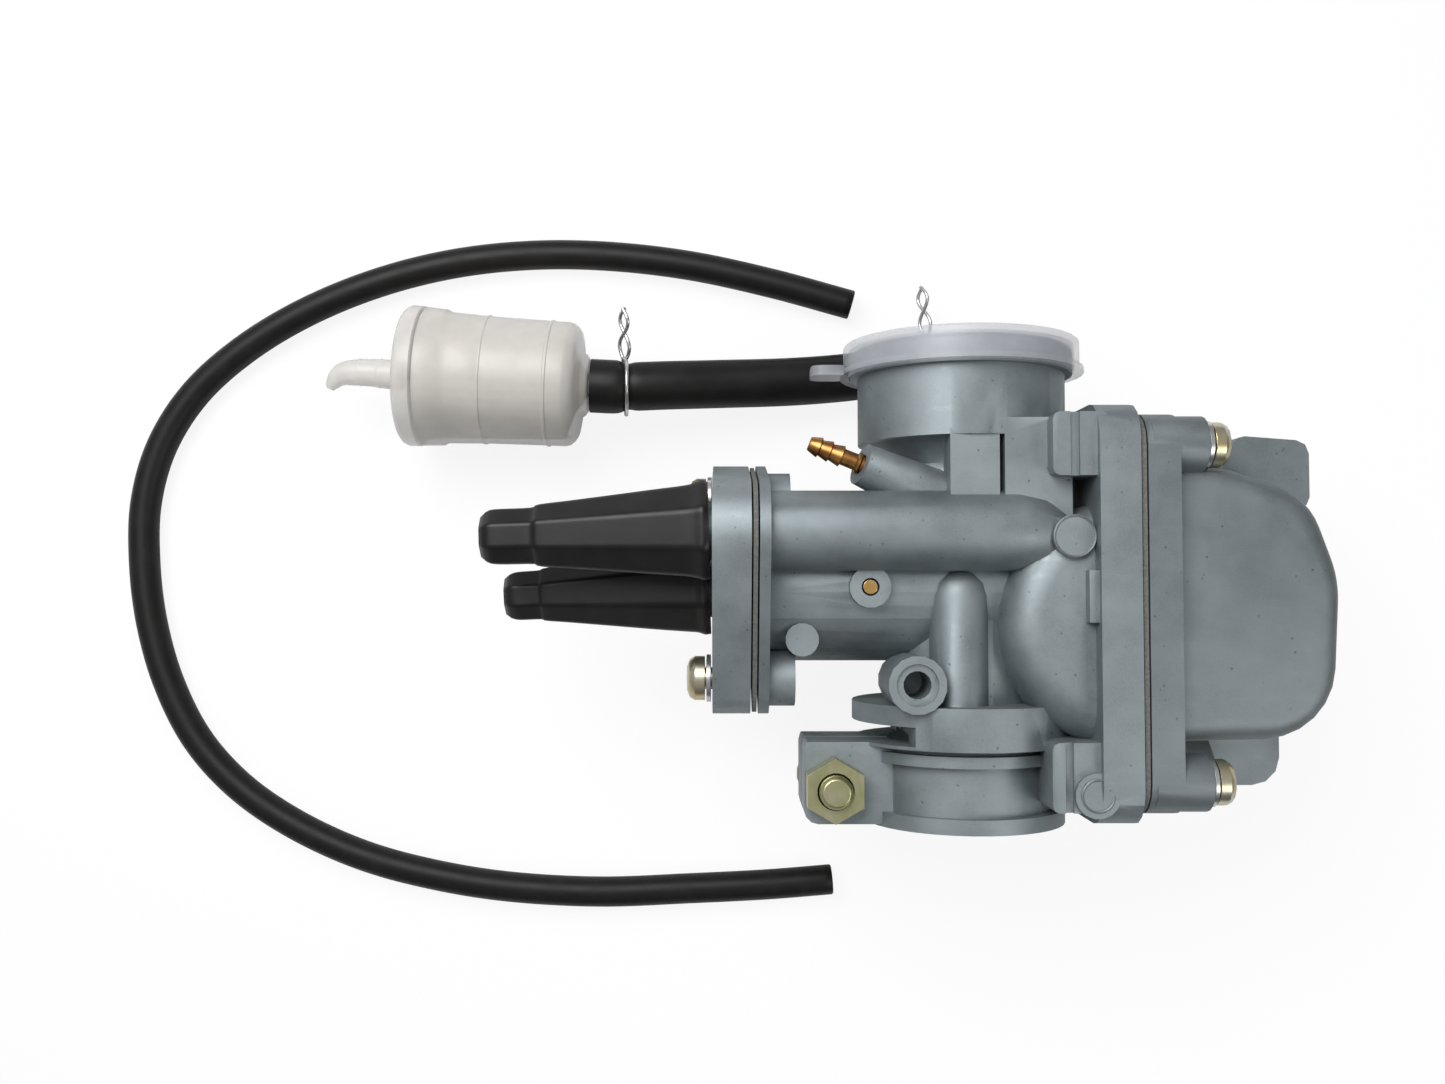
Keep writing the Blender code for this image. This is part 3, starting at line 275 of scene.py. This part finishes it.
def moulded_float(name):
    """Dull black plastic of the float, with faint mould grain."""
    finish = Finish(name)
    grain = finish.noise(0.4 * MM, 3.0, 0.6)
    base = finish.blend(grain, (0.014, 0.014, 0.014), (0.04, 0.04, 0.038))
    return finish.set(Base_Color=base, Roughness=0.42 + grain * 0.2, Normal=finish.bump(grain, 0.02 * MM, 0.5))


def metals():
    """The plated, brass and steel finishes, made once and shared by like pieces."""
    made = {}
    for name, (tone, second, rough) in {
        "yellow_zinc": (colour_of("zinc_colour"), (0.50, 0.50, 0.42), 0.24),
        "green_zinc": ((0.34, 0.34, 0.17), (0.42, 0.40, 0.26), 0.30),
        "turned_brass": (colour_of("brass_colour"), (0.62, 0.40, 0.16), 0.22),
        "dark_brass": ((0.24, 0.10, 0.032), (0.36, 0.19, 0.06), 0.28),
        "bright_steel": ((0.50, 0.50, 0.50), (0.62, 0.62, 0.61), 0.22),
        "slide_chrome": ((0.62, 0.63, 0.64), (0.70, 0.70, 0.70), 0.12),
    }.items():
        made[name] = bpy.data.materials.get(name) or plated_metal(name, tone, second, rough)
    return made


# ---------------------------------------------------------------- surfaces


def piece_from(name, points, faces, material, body=MAIN, angle=35):
    """A mesh object at the origin, shaded smooth up to the given edge angle, riding on its body."""
    mesh = bpy.data.meshes.new(name)
    mesh.from_pydata(points, [], faces)
    build = bmesh.new()
    build.from_mesh(mesh)
    bmesh.ops.remove_doubles(build, verts=build.verts, dist=1e-7)
    bmesh.ops.recalc_face_normals(build, faces=build.faces)
    build.to_mesh(mesh)
    build.free()
    mesh.shade_smooth()
    mesh.set_sharp_from_angle(angle=math.radians(angle))
    mesh.materials.append(material)
    made = bpy.data.objects.new(name, mesh)
    bpy.context.scene.collection.objects.link(made)
    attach(made, body)
    return made


def grid_faces(rows, columns, wrap_rows=False):
    """Quads over a grid of rows by columns whose columns wrap round."""
    row = np.arange(rows if wrap_rows else rows - 1)[:, None]
    column = np.arange(columns)[None, :]
    after, beside = (row + 1) % rows, (column + 1) % columns
    quads = (row * columns + column, row * columns + beside, after * columns + beside, after * columns + column)
    return np.stack(np.broadcast_arrays(*quads), -1).reshape(-1, 4).tolist()


def axes_across(direction):
    """Two unit vectors square to the direction and to each other."""
    along = np.asarray(direction, float) / np.linalg.norm(direction)
    helper = np.array((0, 0, 1.0)) if abs(along[2]) < 0.9 else np.array((0, 1.0, 0))
    first = np.cross(along, helper)
    first /= np.linalg.norm(first)
    return along, first, np.cross(along, first)


def turned_surface(name, start, direction, profile, material, sides=64, shape=None, closed=False, body=MAIN, angle=35):
    """Turned piece: point(s, t) = start + axis * along(s) + radius(s) * shape(s, t) * (cos t, sin t).

    The profile lists (along, radius) in millimetres. shape, if given, is a function of the row's share
    and the angle that scales the radius. An open profile ends in flat discs.
    """
    along, first, second = axes_across(direction)
    rows = np.asarray(profile, float) * MM
    turn = np.linspace(0, math.tau, sides, endpoint=False)[None, :]
    share = np.linspace(0, 1, len(rows))[:, None]
    radius = rows[:, 1][:, None] * (shape(share, turn) if shape else np.ones_like(turn))
    spoke = np.cos(turn)[..., None] * first + np.sin(turn)[..., None] * second
    points = np.asarray(start) + rows[:, 0][:, None, None] * along + radius[..., None] * spoke
    faces = grid_faces(len(rows), sides, closed)
    if not closed:
        faces += [list(range(sides)), list(range((len(rows) - 1) * sides, len(rows) * sides))]
    return piece_from(name, points.reshape(-1, 3).tolist(), faces, material, body, angle)


def eased(profile, steps=5):
    """A profile drawn as a smooth curve through its points: a Catmull-Rom curve in the share of the way."""
    knots = np.asarray(profile, float)
    padded = np.vstack((2 * knots[0] - knots[1], knots, 2 * knots[-1] - knots[-2]))
    share = np.linspace(0, 1, steps, endpoint=False)[None, :, None]
    a, b, c, d = (padded[i:len(knots) - 1 + i][:, None, :] for i in range(4))
    curve = 0.5 * (2 * b + (c - a) * share + (2 * a - 5 * b + 4 * c - d) * share**2 + (3 * b - a - 3 * c + d) * share**3)
    return np.vstack((curve.reshape(-1, knots.shape[1]), knots[-1]))


def even_path(points, count):
    """The same curve read at count points, evenly along its length."""
    points = np.asarray(points)
    length = np.concatenate(((0,), np.cumsum(np.linalg.norm(np.diff(points, axis=0), axis=1))))
    want = np.linspace(0, length[-1], count)
    return np.stack([np.interp(want, length, points[:, k]) for k in range(3)], 1), length[-1]


def carried_circle(name, path, radius, material, sides=20, body=MAIN):
    """Tube: point(s, t) = path(s) + radius(s) * (across(s) cos t + over(s) sin t), closed by flat ends.

    across is square to the path and to the upward direction; over completes the three.
    """
    path = np.asarray(path)
    forward = np.gradient(path, axis=0)
    forward /= np.linalg.norm(forward, axis=1)[:, None]
    across = np.cross(forward, (0.0, 0.03, 1.0))
    across /= np.linalg.norm(across, axis=1)[:, None]
    over = np.cross(across, forward)
    turn = np.linspace(0, math.tau, sides, endpoint=False)
    radius = np.broadcast_to(radius, len(path))[:, None, None]
    ring = across[:, None] * np.cos(turn)[None, :, None] + over[:, None] * np.sin(turn)[None, :, None]
    points = path[:, None] + radius * ring
    faces = grid_faces(len(path), sides)
    faces += [list(range(sides)), list(range((len(path) - 1) * sides, len(path) * sides))]
    return piece_from(name, points.reshape(-1, 3).tolist(), faces, material, body, 50)


def softened_copy(node, material, width, body=MAIN, angle=35):
    """The CAD node's mesh, merged, with its edges rounded by width and shaded smooth."""
    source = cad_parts[node].data
    build = bmesh.new()
    build.from_mesh(source)
    bmesh.ops.remove_doubles(build, verts=build.verts, dist=2e-6)
    bmesh.ops.dissolve_limit(build, angle_limit=math.radians(1.0), verts=build.verts, edges=build.edges)
    mesh = bpy.data.meshes.new(f"{node}_surface")
    build.to_mesh(mesh)
    build.free()
    mesh.shade_smooth()
    mesh.set_sharp_from_angle(angle=math.radians(angle))
    mesh.materials.clear()
    mesh.materials.append(material)
    made = bpy.data.objects.new(f"{node}_surface", mesh)
    bpy.context.scene.collection.objects.link(made)
    if width:
        soft = made.modifiers.new("edges", "BEVEL")
        soft.width = width
        soft.segments = 2
        soft.limit_method = "ANGLE"
        soft.angle_limit = math.radians(angle + 5)
        soft.harden_normals = True
    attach(made, body)
    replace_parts(made, node)
    return made


def dress(material, *nodes):
    """Gives CAD nodes that keep their own mesh a finish."""
    for node in nodes:
        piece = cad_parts[node]
        piece.data.materials.clear()
        piece.data.materials.append(material)


# ---------------------------------------------------------------- settings


class CarburetorLooks(bpy.types.PropertyGroup):
    casting_colour: bpy.props.FloatVectorProperty(
        name="Casting", description="Tone of the die castings", subtype="COLOR", size=3,
        default=(0.205, 0.235, 0.245), min=0, max=1)
    zinc_colour: bpy.props.FloatVectorProperty(
        name="Plating", description="Tone of the plated screws", subtype="COLOR", size=3,
        default=(0.52, 0.44, 0.25), min=0, max=1)
    brass_colour: bpy.props.FloatVectorProperty(
        name="Brass", description="Tone of the brass fittings", subtype="COLOR", size=3,
        default=(0.50, 0.29, 0.10), min=0, max=1)
    rubber_colour: bpy.props.FloatVectorProperty(
        name="Rubber", description="Tone of boots and hoses", subtype="COLOR", size=3,
        default=(0.0075, 0.0068, 0.0066), min=0, max=1)
    plastic_colour: bpy.props.FloatVectorProperty(
        name="Plastic", description="Tone of the filter and the dust cap", subtype="COLOR", size=3,
        default=(0.61, 0.585, 0.55), min=0, max=1)
    edge_radius: bpy.props.FloatProperty(
        name="Casting edges", description="Rounding of the castings' edges", unit="LENGTH",
        default=0.3 * MM, min=0, max=1 * MM)
    hose_diameter: bpy.props.FloatProperty(
        name="Fuel hose", description="Outside diameter of the fuel hose", unit="LENGTH", default=10 * MM)
    vent_diameter: bpy.props.FloatProperty(
        name="Vent hose", description="Outside diameter of the vent hose", unit="LENGTH", default=6.2 * MM)
    key_light: bpy.props.FloatProperty(
        name="Key light", description="Power of the large soft lamp", unit="POWER", default=1.9, min=0)
    surround: bpy.props.FloatProperty(
        name="Surround", description="Brightness of the light tent around the object", default=0.42, min=0)


# ---------------------------------------------------------------- operators


class MakeStage(bpy.types.Operator):
    """Camera, pale floor, light tent and two soft lamps"""

    bl_idname = "carburetor.stage"
    bl_label = "Stage"

    def execute(self, context):
        scene = context.scene
        scene.view_settings.view_transform = "Standard"
        eye = bpy.data.cameras.new("camera")
        eye.lens = 32.14
        eye.sensor_width = 36
        eye.clip_start = 0.01
        camera = bpy.data.objects.new("camera", eye)
        camera.location = place(-44.8, -1.0, 242.5)
        camera.rotation_euler = (math.radians(2.17), 0, 0)
        scene.collection.objects.link(camera)
        scene.camera = camera
        self.make_world(scene)
        self.make_floor()
        self.make_lamp("key_lamp", place(-170, 190, 330), 0.30, look_settings().key_light)
        self.make_lamp("fill_lamp", place(250, -160, 300), 0.22, look_settings().key_light * 0.32)
        return {"FINISHED"}

    def make_world(self, scene):
        """A light tent: brighter above than at the sides, and plain white where the camera sees it."""
        world = bpy.data.worlds.new("light_tent")
        scene.world = world
        world.use_nodes = True
        nodes, links = world.node_tree.nodes, world.node_tree.links
        background = nodes["Background"]
        place_node = nodes.new("ShaderNodeTexCoord")
        side = nodes.new("ShaderNodeVectorMath")
        side.operation = "DOT_PRODUCT"
        side.inputs[1].default_value = (-0.42, 0.36, 0.83)
        half = nodes.new("ShaderNodeMath")
        half.operation = "MULTIPLY_ADD"
        half.inputs[1].default_value = 0.5
        half.inputs[2].default_value = 0.5
        ramp = nodes.new("ShaderNodeValToRGB")
        rays = nodes.new("ShaderNodeLightPath")
        white = nodes.new("ShaderNodeBackground")
        mix = nodes.new("ShaderNodeMixShader")
        links.new(place_node.outputs["Generated"], side.inputs[0])
        links.new(side.outputs["Value"], half.inputs[0])
        links.new(half.outputs[0], ramp.inputs[0])
        stops = ((0.0, 0.06), (0.35, 0.16), (0.62, 0.62), (0.86, 1.05), (1.0, 1.35))
        while len(ramp.color_ramp.elements) < len(stops):
            ramp.color_ramp.elements.new(0.5)
        for element, (where, level) in zip(ramp.color_ramp.elements, stops):
            element.position = where
            element.color = (level, level * 1.005, level * 1.02, 1)
        links.new(ramp.outputs[0], background.inputs["Color"])
        background.inputs["Strength"].default_value = look_settings().surround
        white.inputs["Strength"].default_value = 1.0
        white.inputs["Color"].default_value = (1, 1, 1, 1)
        links.new(rays.outputs["Is Camera Ray"], mix.inputs[0])
        links.new(background.outputs[0], mix.inputs[1])
        links.new(white.outputs[0], mix.inputs[2])
        links.new(mix.outputs[0], nodes["World Output"].inputs["Surface"])

    def make_floor(self):
        """A flat square: x and y are linear in the two grid parameters. It keeps a faint shadow."""
        reach = 3.0
        corners = [(-reach, -reach, 0), (reach, -reach, 0), (reach, reach, 0), (-reach, reach, 0)]
        mesh = bpy.data.meshes.new("floor")
        mesh.from_pydata([(x, y, -0.0002) for x, y, _ in corners], [], [(0, 1, 2, 3)])
        floor = bpy.data.objects.new("floor", mesh)
        bpy.context.scene.collection.objects.link(floor)
        finish = Finish("pale_floor")
        tone = finish.noise(0.4, 2.0).over(0.2, 0.8)
        finish.set(Base_Color=finish.blend(tone, (0.80, 0.80, 0.80), (0.84, 0.84, 0.84)), Roughness=0.7)
        glow = finish.add("ShaderNodeEmission", inputs={"Color": (1.0, 1.0, 1.0), "Strength": 1.0})
        camera_ray = finish.add("ShaderNodeLightPath", output="Is Camera Ray")
        both = finish.add("ShaderNodeMixShader", inputs={0: camera_ray * 0.88, 1: Signal(finish, finish.shader.outputs[0]), 2: glow})
        finish.links.new(both.socket, finish.nodes["Material Output"].inputs["Surface"])
        mesh.materials.append(finish.material)

    def make_lamp(self, name, where, size, power):
        light = bpy.data.lights.new(name, "AREA")
        light.shape = "DISK"
        light.size = size
        light.energy = power
        lamp = bpy.data.objects.new(name, light)
        lamp.location = where
        target = Vector(CROSSING)
        lamp.rotation_euler = (target - Vector(where)).to_track_quat("-Z", "Y").to_euler()
        bpy.context.scene.collection.objects.link(lamp)


class MakeVentHose(bpy.types.Operator):
    """The loose vent hose, lying in one wide open loop, hollow at both ends"""

    bl_idname = "carburetor.vent_hose"
    bl_label = "Vent hose"

    def execute(self, context):
        diameter = look_settings().vent_diameter
        route = np.array([place(x, y, VENT_LAY) for x, y in VENT_ROUTE])
        path, length = even_path(eased(route, 24), 220)
        hose = hollow_hose("vent_hose_tube", path, diameter / 2, 1.6 * MM, black_rubber("vent_rubber", 0.45))
        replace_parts(hose, "vent_hose")
        return {"FINISHED"}


class MakeFuelHose(bpy.types.Operator):
    """The short fuel hose, stretched a little over the filter's spout, and its wire clips"""

    bl_idname = "carburetor.fuel_hose"
    bl_label = "Fuel hose"

    def execute(self, context):
        diameter = look_settings().hose_diameter
        route = np.array([place(*point) for point in HOSE_ROUTE])
        path, length = even_path(eased(route, 24), 110)
        along = np.linspace(0, length, len(path))
        from_filter, from_pipe = length - along, along
        swell = 0.5 * MM * (1 / (1 + np.exp((from_filter - 6.5 * MM) / (0.5 * MM))))
        swell += 0.35 * MM * (1 / (1 + np.exp((from_pipe - 7 * MM) / (0.8 * MM))))
        squeeze = -0.35 * MM * np.exp(-((from_filter - 7.6 * MM) / (1.1 * MM)) ** 2)
        material = black_rubber("fuel_rubber", 0.55)
        hose = carried_circle("fuel_hose_tube", path, diameter / 2 + swell + squeeze, material, 36)
        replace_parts(hose, "fuel_hose")
        clips = [self.make_tie(1, (-1.0, 47.25, -29.6), (1, 0.1, 0), (0.05, 1, 0.05)),
                 self.make_tie(2, (-64.8, 41.05, -21.95), (1, 0.03, -0.08), (-0.24, 0.87, 0.42))]
        return {"FINISHED"}


    def make_tie(self, number, centre, axis, lean):
        """A wire tie: a ring round the hose whose two ends twist round each other into a figure of eight."""
        along = np.array(axis, float) / np.linalg.norm(axis)
        up = np.array(lean, float) - along * np.dot(lean, along)
        up /= np.linalg.norm(up)
        side = np.cross(along, up)
        turn = np.radians(np.linspace(104, 436, 90))[:, None]
        ring = 5.75 * (up * np.sin(turn) + side * np.cos(turn)) + along * np.linspace(-0.35, 0.35, 90)[:, None]
        rise = np.linspace(0.04, 1, 60)[:, None]
        width = np.sin(2 * math.pi * rise) * (1.1 + 0.7 * rise)
        tilt = 0.8 * side + 0.6 * along
        left = up * (5.6 + 10.6 * rise) + tilt * width + along * 0.2
        right = up * (5.6 + 10.6 * rise) - tilt * width - along * 0.2
        line = np.vstack((left[::-1], ring, right))
        path, _ = even_path(place(*centre) + line * MM, 260)
        wire = carried_circle(f"hose_tie_{number}", path, 0.38 * MM, metals()["bright_steel"], 10)
        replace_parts(wire, f"hose_clip_{number}")
        return wire


def hollow_hose(name, path, radius, bore, material, sides=28):
    """Hose: a circle carried along the path, turned in at each end to a short blind bore."""
    path = np.asarray(path)
    first, last = path[0] - path[1], path[-1] - path[-2]
    first, last = first / np.linalg.norm(first), last / np.linalg.norm(last)
    depth = 6 * MM
    inward = [path[0] - first * depth * k for k in (1.0, 0.0)]
    outward = [path[-1] - last * depth * k for k in (0.0, 1.0)]
    line = np.vstack((inward, [path[0]], path, [path[-1]], outward))
    sizes = np.concatenate(((bore, bore, radius - 0.25 * MM), np.full(len(path), radius), (radius - 0.25 * MM, bore, bore)))
    forward = np.gradient(path, axis=0)
    forward = np.vstack(([forward[0]] * 3, forward, [forward[-1]] * 3))
    forward /= np.linalg.norm(forward, axis=1)[:, None]
    line[3] -= first * 0.25 * MM
    line[-4] -= last * 0.25 * MM
    across = np.cross(forward, (0.0, 0.0, 1.0))
    across /= np.linalg.norm(across, axis=1)[:, None]
    over = np.cross(across, forward)
    turn = np.linspace(0, math.tau, sides, endpoint=False)
    ring = across[:, None] * np.cos(turn)[None, :, None] + over[:, None] * np.sin(turn)[None, :, None]
    points = line[:, None] + sizes[:, None, None] * ring
    faces = grid_faces(len(line), sides)
    faces += [list(range(sides)), list(range((len(line) - 1) * sides, len(line) * sides))]
    return piece_from(name, points.reshape(-1, 3).tolist(), faces, material, MAIN, 50)


class MakeCastings(bpy.types.Operator):
    """Body, top cap and float bowl with rounded edges and a sandy cast finish"""

    bl_idname = "carburetor.castings"
    bl_label = "Castings"

    def execute(self, context):
        edge = look_settings().edge_radius
        # The second numbers are painted light and shade: the cap is painted lighter and the bowl darker than the
        # body's casting metal.
        softened_copy("carburetor_body", cast_metal("cast_body", 0.98), edge)
        softened_copy("top_cap", cast_metal("cast_cap", 1.16), edge * 1.8)
        softened_copy("float_bowl", cast_metal("cast_bowl", 0.80), edge)
        for node in ("top_cap_gasket", "bowl_gasket"):
            softened_copy(node, bpy.data.materials.get("gasket_fibre") or fibre_sheet("gasket_fibre"), 0)
        return {"FINISHED"}


class MakeCastingMarks(bpy.types.Operator):
    """Ejector pin circles, with a disc inside the dome's circle, that stand a fraction of a millimetre proud"""

    bl_idname = "carburetor.casting_marks"
    bl_label = "Casting marks"

    def execute(self, context):
        # 1.06 paints the marks a little lighter than the body, as painted light.
        metal = cast_metal("cast_marks", 1.06)
        rings = (
            ("dome_ejector_ring", (15.7, 8.4, 21.5), (0, 0, 1), 3.75),
            ("boss_ejector_ring", (18.6, -35.6, 23.6), (0, 0, 1), 2.9),
        )
        disc = ((0, 3.75), (5.1, 3.65), (5.3, 3.45), (5.32, 0.3))
        turned_surface("dome_ejector_disc", place(15.7, 8.4, 16.2), (0, 0, 1), disc, metal, 48)
        for name, where, axis, radius in rings:
            profile = ((-0.3, radius - 0.4), (0.12, radius - 0.4), (0.3, radius - 0.2), (0.12, radius), (-0.3, radius))
            turned_surface(name, place(*where), axis, profile, metal, 40, closed=True)
        return {"FINISHED"}


class MakeFasteners(bpy.types.Operator):
    """Screws, washers, the clamp's bolt and nut"""

    bl_idname = "carburetor.fasteners"
    bl_label = "Fasteners"

    def execute(self, context):
        finishes = metals()
        for number in range(1, 5):
            softened_copy(f"bowl_screw_{number}", finishes["yellow_zinc"], 0.15 * MM)
            softened_copy(f"bowl_washer_{number}", finishes["bright_steel"], 0.1 * MM)
        for number in (1, 2):
            softened_copy(f"top_cap_screw_{number}", finishes["yellow_zinc"], 0.15 * MM)
            softened_copy(f"top_cap_washer_{number}", finishes["bright_steel"], 0.1 * MM)
        softened_copy("clamp_bolt", finishes["green_zinc"], 0.2 * MM)
        softened_copy("clamp_nut", finishes["green_zinc"], 0.35 * MM)
        softened_copy("clamp_washer", finishes["green_zinc"], 0.12 * MM)
        softened_copy("drain_screw", finishes["turned_brass"], 0.15 * MM)
        softened_copy("idle_screw", finishes["turned_brass"], 0.15 * MM, "idle_adjuster")
        softened_copy("air_screw", finishes["turned_brass"], 0.12 * MM, "air_adjuster")
        for node in ("idle_spring", "air_spring"):
            softened_copy(node, finishes["bright_steel"], 0, angle=60)
        return {"FINISHED"}


class MakeBoots(bpy.types.Operator):
    """Two moulded rubber boots: a squarish round section that eases to a circle at the wide base"""

    bl_idname = "carburetor.boots"
    bl_label = "Cable boots"

    def execute(self, context):
        rubber = black_rubber("boot_rubber", 0.95)

        def faceted(share, turn):
            """An octagon with soft corners: cos(22.5 deg) / cos(angle to the nearest face), eased near corners."""
            away = np.abs((turn + math.pi / 8) % (math.pi / 4) - math.pi / 8)
            flat = 0.955 / np.cos(away)
            round_share = np.clip((0.10 - share) / 0.10, 0, 1)
            return np.minimum(flat, 1.015) * (1 - round_share) + round_share

        throttle = (
            (0, 9.3), (1.0, 9.5), (2.4, 9.0), (4.2, 8.75), (10, 8.0), (18.5, 6.8), (26, 5.75), (30.5, 5.15),
            (31.6, 4.8), (35.5, 4.7), (37.0, 4.3), (38, 3.5), (37.9, 2.1),
        )
        choke = (
            (0, 8.8), (1.0, 9.1), (2.6, 8.6), (4.5, 8.25), (10, 7.7), (16.6, 7.0), (24, 6.25), (29.6, 5.7),
            (31.2, 5.15), (37.4, 5.05), (39.0, 4.6), (40, 3.7), (39.9, 2.1),
        )
        for name, base, direction, outline in (
            ("throttle_boot", (-47.4, 0, 0), (-1, -0.055, 0), throttle),
            ("choke_boot", (-47.2, 9.6, 15.2), (-1, -0.03, 0), choke),
        ):
            outer = eased(outline[:-2], 4)
            inner = ((outline[-1][0] - 15, 2.0), (outline[-1][0] - 15, 0.05))
            profile = np.vstack((((3.0, outline[0][1] - 1.4), (0, outline[0][1] - 1.2)), outer, outline[-2:], inner))
            boot = turned_surface(f"{name}_rubber", place(*base), direction, profile, rubber, 160, faceted, angle=60)
            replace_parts(boot, name)
        return {"FINISHED"}


class MakeFilter(bpy.types.Operator):
    """In-line filter: milky cup and cover with mould lines, barbed spout and pleated paper inside"""

    bl_idname = "carburetor.filter"
    bl_label = "Fuel filter"

    def execute(self, context):
        plastic = milky_plastic("filter_plastic", colour_of("plastic_colour"), 0.42)
        axis = np.array((-1.0, 0.055, 0.0))
        axis /= np.linalg.norm(axis)
        shoulder = place(*HOSE_ROUTE[-1]) + axis * 0.3 * MM
        outer = (
            (0.0, 5.4), (0.5, 6.2), (1.1, 6.6), (1.6, 7.2), (2.0, 10.9), (2.5, 11.7), (3.3, 12.4), (4.4, 12.7), (7.4, 12.72),
            (7.6, 12.95), (8.0, 12.95), (8.2, 12.75), (15.5, 12.9), (20.4, 13.0), (20.6, 13.2), (21.0, 13.2),
            (21.2, 13.05), (26.5, 13.3), (28.6, 13.4), (29.4, 13.9), (33.4, 14.15),
        )
        inner = ((33.4, 12.7), (26.0, 12.2), (15.5, 11.8), (4.6, 11.3), (2.8, 6.0), (0.0, 2.0))
        cup = turned_surface("filter_cup", shoulder, axis, outer + inner, plastic, 96, closed=True, angle=40)
        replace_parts(cup, "filter_body")
        end = shoulder + axis * 33.8 * MM
        cover_profile = (
            (0, 1.0), (0, 13.9), (0.3, 14.3), (2.6, 14.35), (3.3, 14.0), (3.8, 13.4), (4.0, 12.0), (4.1, 5.6),
            (4.4, 4.4), (5.2, 3.5), (5.6, 1.0),
        )
        cover = turned_surface("filter_cover", end, axis, cover_profile, plastic, 96, closed=True, angle=40)
        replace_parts(cover, "filter_end_cap")
        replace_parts(self.make_spout(end, axis, plastic), "filter_end_cap")
        paper = pleated_paper("filter_paper_fibre")

        def pleats(share, turn):
            """1 + a shallow cosine with 26 folds round the drum."""
            return 1 + 0.075 * np.cos(26 * turn) + 0 * share

        drum = turned_surface("filter_paper", shoulder + axis * 5.4 * MM, axis, ((0, 7.9), (28, 7.9)), paper, 312, pleats)
        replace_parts(drum, "filter_element")
        return {"FINISHED"}


    def make_spout(self, end, axis, plastic):
        """The tapering spout: a circle carried along a line whose tip hooks down, with two faint rings."""
        down = np.array((0.0, -1.0, 0.0))
        knots = np.array((
            (4.6, 0.0, 3.1), (8.0, -0.1, 3.0), (11.0, -0.2, 2.85), (14.0, -0.1, 2.7), (16.6, 0.3, 2.45),
            (18.2, 1.3, 2.0), (19.2, 2.7, 1.35), (19.6, 3.7, 0.75),
        ))
        fine = eased(knots, 10)
        rings = np.exp(-((fine[:, 0] - 9.2) / 0.25) ** 2) + np.exp(-((fine[:, 0] - 13.4) / 0.25) ** 2)
        path = np.asarray(end) + (fine[:, :1] * axis + fine[:, 1:2] * down) * MM
        return carried_circle("filter_spout", path, (fine[:, 2] + 0.12 * rings) * MM, plastic, 40)


class MakeDustCap(bpy.types.Operator):
    """Translucent push-on dust cap over the air bell, with its pull tab"""

    bl_idname = "carburetor.dust_cap"
    bl_label = "Dust cap"

    def execute(self, context):
        plastic = milky_plastic("cap_plastic", (0.47, 0.49, 0.53), 0.66)
        softened_copy("dust_cap", plastic, 0.2 * MM, "dust_cover")
        return {"FINISHED"}


class MakeFittings(bpy.types.Operator):
    """Vent nipple, sealing plug and fuel inlet pipe"""

    bl_idname = "carburetor.fittings"
    bl_label = "Fittings"

    def execute(self, context):
        finishes = metals()
        base, tip = place(-20.2, 21.5, 14.0), place(-29.4, 25.2, 14.0)
        axis = (tip - base) / np.linalg.norm(tip - base)
        start = base - axis * 5 * MM
        reach = np.linalg.norm(tip - start) / MM
        profile = (
            (0, 0.7), (0, 1.45), (5.0, 1.5), (5.3, 1.9), (5.7, 1.9), (6.0, 1.5), (reach - 6.4, 1.48), (reach - 6.2, 1.95),
            (reach - 4.2, 1.5), (reach - 4.0, 1.92), (reach - 2.2, 1.45), (reach - 2.0, 1.88), (reach - 0.2, 1.3),
            (reach, 1.15), (reach, 0.7),
        )
        nipple = turned_surface("vent_nipple_barbed", start, axis, profile, finishes["dark_brass"], 48, closed=True)
        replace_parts(nipple, "vent_nipple")
        for node in ("brass_plug", "fuel_inlet_pipe"):
            softened_copy(node, finishes["turned_brass"], 0.1 * MM if node == "brass_plug" else 0)
        return {"FINISHED"}


class MakeInnerParts(bpy.types.Operator):
    """Slide, needle, jets, springs, float and the other parts that the castings enclose"""

    bl_idname = "carburetor.inner_parts"
    bl_label = "Inner parts"

    def execute(self, context):
        finishes = metals()
        softened_copy("throttle_slide", finishes["slide_chrome"], 0.15 * MM, "throttle")
        dress(finishes["turned_brass"], "jet_needle", "choke_plunger", "needle_jet", "main_jet", "pilot_jet",
              "needle_valve_seat", "throttle_cable_adjuster", "choke_cable_guide")
        dress(finishes["bright_steel"], "throttle_spring", "choke_spring", "needle_clip", "float_pin", "float_needle")
        dress(moulded_float("float_plastic"), "float")
        return {"FINISHED"}


OPERATORS = (
    MakeStage, MakeFilter, MakeFuelHose, MakeVentHose, MakeCastings, MakeCastingMarks, MakeFasteners, MakeBoots,
    MakeDustCap, MakeFittings, MakeInnerParts,
)


class CarburetorPanel(bpy.types.Panel):
    """Lists the settings and one button for each group of pieces"""

    bl_idname = "VIEW3D_PT_carburetor"
    bl_label = "Slide Carburetor"
    bl_space_type = "VIEW_3D"
    bl_region_type = "UI"
    bl_category = "Carburetor"

    def draw(self, context):
        for name in CarburetorLooks.__annotations__:
            self.layout.prop(context.scene.carburetor_looks, name)
        for operator in OPERATORS:
            self.layout.operator(operator.bl_idname)


CLASSES = (CarburetorLooks, *OPERATORS, CarburetorPanel)


def register():
    for cls in CLASSES:
        bpy.utils.register_class(cls)
    bpy.types.Scene.carburetor_looks = bpy.props.PointerProperty(type=CarburetorLooks)


def unregister():
    del bpy.types.Scene.carburetor_looks
    for cls in reversed(CLASSES):
        bpy.utils.unregister_class(cls)


def main():
    register()
    for operator in OPERATORS:
        group, name = operator.bl_idname.split(".")
        getattr(getattr(bpy.ops, group), name)()


if __name__ == "__main__":
    main()
